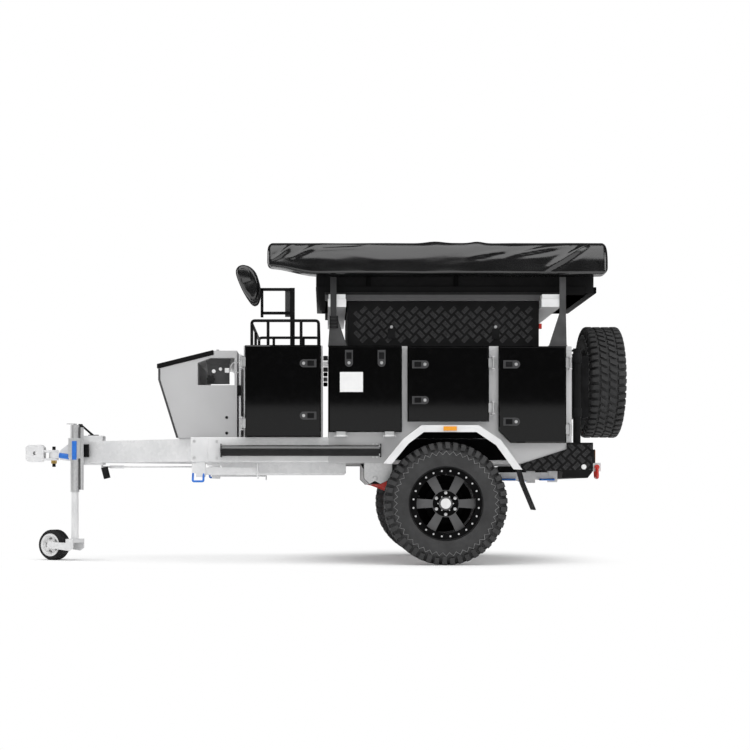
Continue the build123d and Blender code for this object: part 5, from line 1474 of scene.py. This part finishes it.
# bow shackle through the tongue's hole: two eyes and a pin, and a bow that leans back
bowSpec = {
    "eye": (0.018, 0.034, 0.048), "pin": 0.011, "bar": 0.0115, "half": 0.0405, "drop": 0.0740,
    "lean": 0.0045, "start": 0.05, "bend": 0.0385,
}
bowLow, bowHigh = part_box("shackle")
bowAt = Vector(((bowLow.x + bowHigh.x) / 2, 0, bowHigh.z - bowSpec["eye"][0]))


def onPin(y):
    return bowAt + Vector((0, y, 0))


def shackleEyes(shape):
    radius, inner, outer = bowSpec["eye"]
    for sign in (1, -1):
        addRod(shape, onPin(sign * inner), onPin(sign * outer), radius, 28, 0.003)
    addRod(shape, onPin(-inner), onPin(inner), bowSpec["pin"], 24)


bowRun = [
    onPin(sign * bowSpec["half"]) - Vector((bowSpec["lean"], 0, bowSpec["drop"])) * share
    for sign, share in ((1, bowSpec["start"]), (1, 1), (-1, 1), (-1, bowSpec["start"]))
]
bowBody = bodyOf("shackle")
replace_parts(fitting("shackle.eyes", shackleEyes, "redPaint", bowBody), "shackle")
bow = tubePiece("shackle.bow", [cornered(bowRun, bowSpec["bend"])], bowSpec["bar"], bowBody, "redPaint")
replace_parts(bow, "shackle")

# roof: pale beams under grey rails, rubber seals, a ladder buckle
railSpec = {"from": 1.7552, "half": 0.015, "out": 0.0015, "low": 1.7937, "under": 0.001, "short": 0.002}
railLow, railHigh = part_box("rack_beams")
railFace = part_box("top_box")[1].y + railSpec["half"]
sealCorners = (
    (railLow.x + railSpec["short"], railFace - railSpec["under"], railSpec["low"]),
    (railHigh.x - railSpec["short"], railFace + railSpec["out"], railHigh.z - railSpec["under"]),
)
buckleSpec = {
    "x": (-0.086, -0.030), "z": (1.560, 1.640), "y": (0.7241, 0.7325), "rungs": 4, "rung": 0.012,
    "rail": 0.009,
}


def buckle(shape):
    (x0, x1), (z0, z1), (y0, y1) = buckleSpec["x"], buckleSpec["z"], buckleSpec["y"]
    rung, rail = buckleSpec["rung"], buckleSpec["rail"]
    for step in range(buckleSpec["rungs"]):
        z = z0 + (z1 - z0 - rung) * step / (buckleSpec["rungs"] - 1)
        addBox(shape, (x0, y0, z), (x1, y1, z + rung))
    for x in (x0, x1 - rail):
        addBox(shape, (x, y0, z0), (x + rail, y1, z1))


paintWhere(shells["rack_beams"], "railGrey", lambda c: c.z > railSpec["from"])
fitting("railSeals", boxes(sealCorners), "softRubber", mirror=True)
fitting("ladderBuckle", buckle, "softRubber", edge=0.0015)
print("rear end and roof fitted out")

# floor, lights and camera
studio = {
    "floorRadius": 60.0,
    "floorTone": 0.90,
    "floorRough": 0.9,
    "pools": [
        # middle, sharpness, inner and outer reach, depth
        ((-0.786, 0.0), (1.0, 0.62), (0.45, 1.35), 0.85),
        ((1.78, 0.15), (2.4, 2.4), (0.30, 1.00), 1.0),
        ((0.45, 0.0), (0.45, 0.75), (0.40, 1.00), 0.30),
    ],
    "skyFill": 0.62,
    "skyMirrored": 0.05,
    "lampAim": (0, 0, 0.9),
    "lamps": [
        # name, place, size, power
        ("overhead", (0.3, 2.5, 6.0), (8.0, 6.0), 270.0),
        ("frontStrip", (0.0, 13.0, 0.8), (18.0, 1.8), 52.0),
        ("noseFill", (8.0, -2.0, 3.5), (4.0, 4.0), 150.0),
        ("tailFill", (-7.0, 4.0, 4.5), (4.0, 4.0), 130.0),
    ],
}
photoFrame = {
    "pixels": 750,
    "focal": 1575,
    "horizon": 490,
    "vanishing": 325,
    "distance": 11.13,
    "height": 0.49,
    "sensor": 36.0,
}


def layFloor():
    shape = bmesh.new()
    bmesh.ops.create_circle(shape, cap_ends=True, radius=studio["floorRadius"], segments=96)
    mesh = bpy.data.meshes.new("floor")
    shape.to_mesh(mesh)
    shape.free()
    floor = bpy.data.objects.new("floor", mesh)
    bpy.context.scene.collection.objects.link(floor)
    material = bpy.data.materials.new("paleFloor")
    material.use_nodes = True
    tree = material.node_tree
    shader = tree.nodes["Principled BSDF"]
    shader.inputs["Base Color"].default_value = (*[studio["floorTone"]] * 3, 1)
    shader.inputs["Roughness"].default_value = studio["floorRough"]
    shader.inputs["Specular IOR Level"].default_value = 0.0
    place = Wire(tree, tree.nodes.new("ShaderNodeTexCoord").outputs["Object"])
    fade = 1.0
    for (x, y), (sharpX, sharpY), (inner, outer), depth in studio["pools"]:
        # the shadow shows near the wheels and fades into the white floor
        off = place.node("VectorMath", {"operation": "SUBTRACT"}, {0: place, 1: (x, y, 0)})
        far = off.node("VectorMath", {"operation": "LENGTH"}, {0: off.stretched(sharpX, sharpY, 1)}, "Value")
        fade = fade * far.node("MapRange", {"interpolation_type": "SMOOTHSTEP"}, {
            "Value": far, "From Min": inner, "From Max": outer, "To Min": 1 - depth})
    path = tree.nodes.new("ShaderNodeLightPath")
    seen = Wire(tree, path.outputs["Is Camera Ray"]) + Wire(tree, path.outputs["Is Glossy Ray"])
    glow = tree.nodes.new("ShaderNodeEmission")
    blend = tree.nodes.new("ShaderNodeMixShader")
    connect(tree, fade * seen, blend.inputs[0])
    tree.links.new(shader.outputs[0], blend.inputs[1])
    tree.links.new(glow.outputs[0], blend.inputs[2])
    tree.links.new(blend.outputs[0], tree.nodes["Material Output"].inputs[0])
    mesh.materials.append(material)


def lightStudio():
    world = bpy.data.worlds.new("studio")
    bpy.context.scene.world = world
    world.use_nodes = True
    tree = world.node_tree
    path = tree.nodes.new("ShaderNodeLightPath")
    seen, mirrored = [Wire(tree, path.outputs[name]) for name in ("Is Camera Ray", "Is Glossy Ray")]
    fill = studio["skyFill"]
    background = tree.nodes["Background"]
    background.inputs["Color"].default_value = (1, 1, 1, 1)
    strength = seen * (1 - fill) + mirrored * (studio["skyMirrored"] - fill) + fill
    connect(tree, strength, background.inputs["Strength"])
    for name, place, size, power in studio["lamps"]:
        lamp = bpy.data.lights.new(name, "AREA")
        lamp.shape = "RECTANGLE"
        lamp.size, lamp.size_y = size
        lamp.energy = power
        holder = bpy.data.objects.new(name, lamp)
        holder.location = place
        aim = Vector(studio["lampAim"]) - Vector(place)
        holder.rotation_euler = aim.to_track_quat("-Z", "Y").to_euler()
        bpy.context.scene.collection.objects.link(holder)


def placeCamera():
    data = bpy.data.cameras.new("camera")
    side = photoFrame["pixels"]
    data.sensor_width = photoFrame["sensor"]
    data.lens = photoFrame["focal"] / side * photoFrame["sensor"]
    data.shift_x = (side / 2 - photoFrame["vanishing"]) / side
    data.shift_y = (photoFrame["horizon"] - side / 2) / side
    camera = bpy.data.objects.new("camera", data)
    camera.location = (0, photoFrame["distance"], photoFrame["height"])
    camera.rotation_euler = (math.radians(90), 0, math.radians(180))
    bpy.context.scene.collection.objects.link(camera)
    bpy.context.scene.camera = camera


layFloor()
lightStudio()
placeCamera()
bpy.context.scene.view_settings.view_transform = "Standard"
print("studio ready")
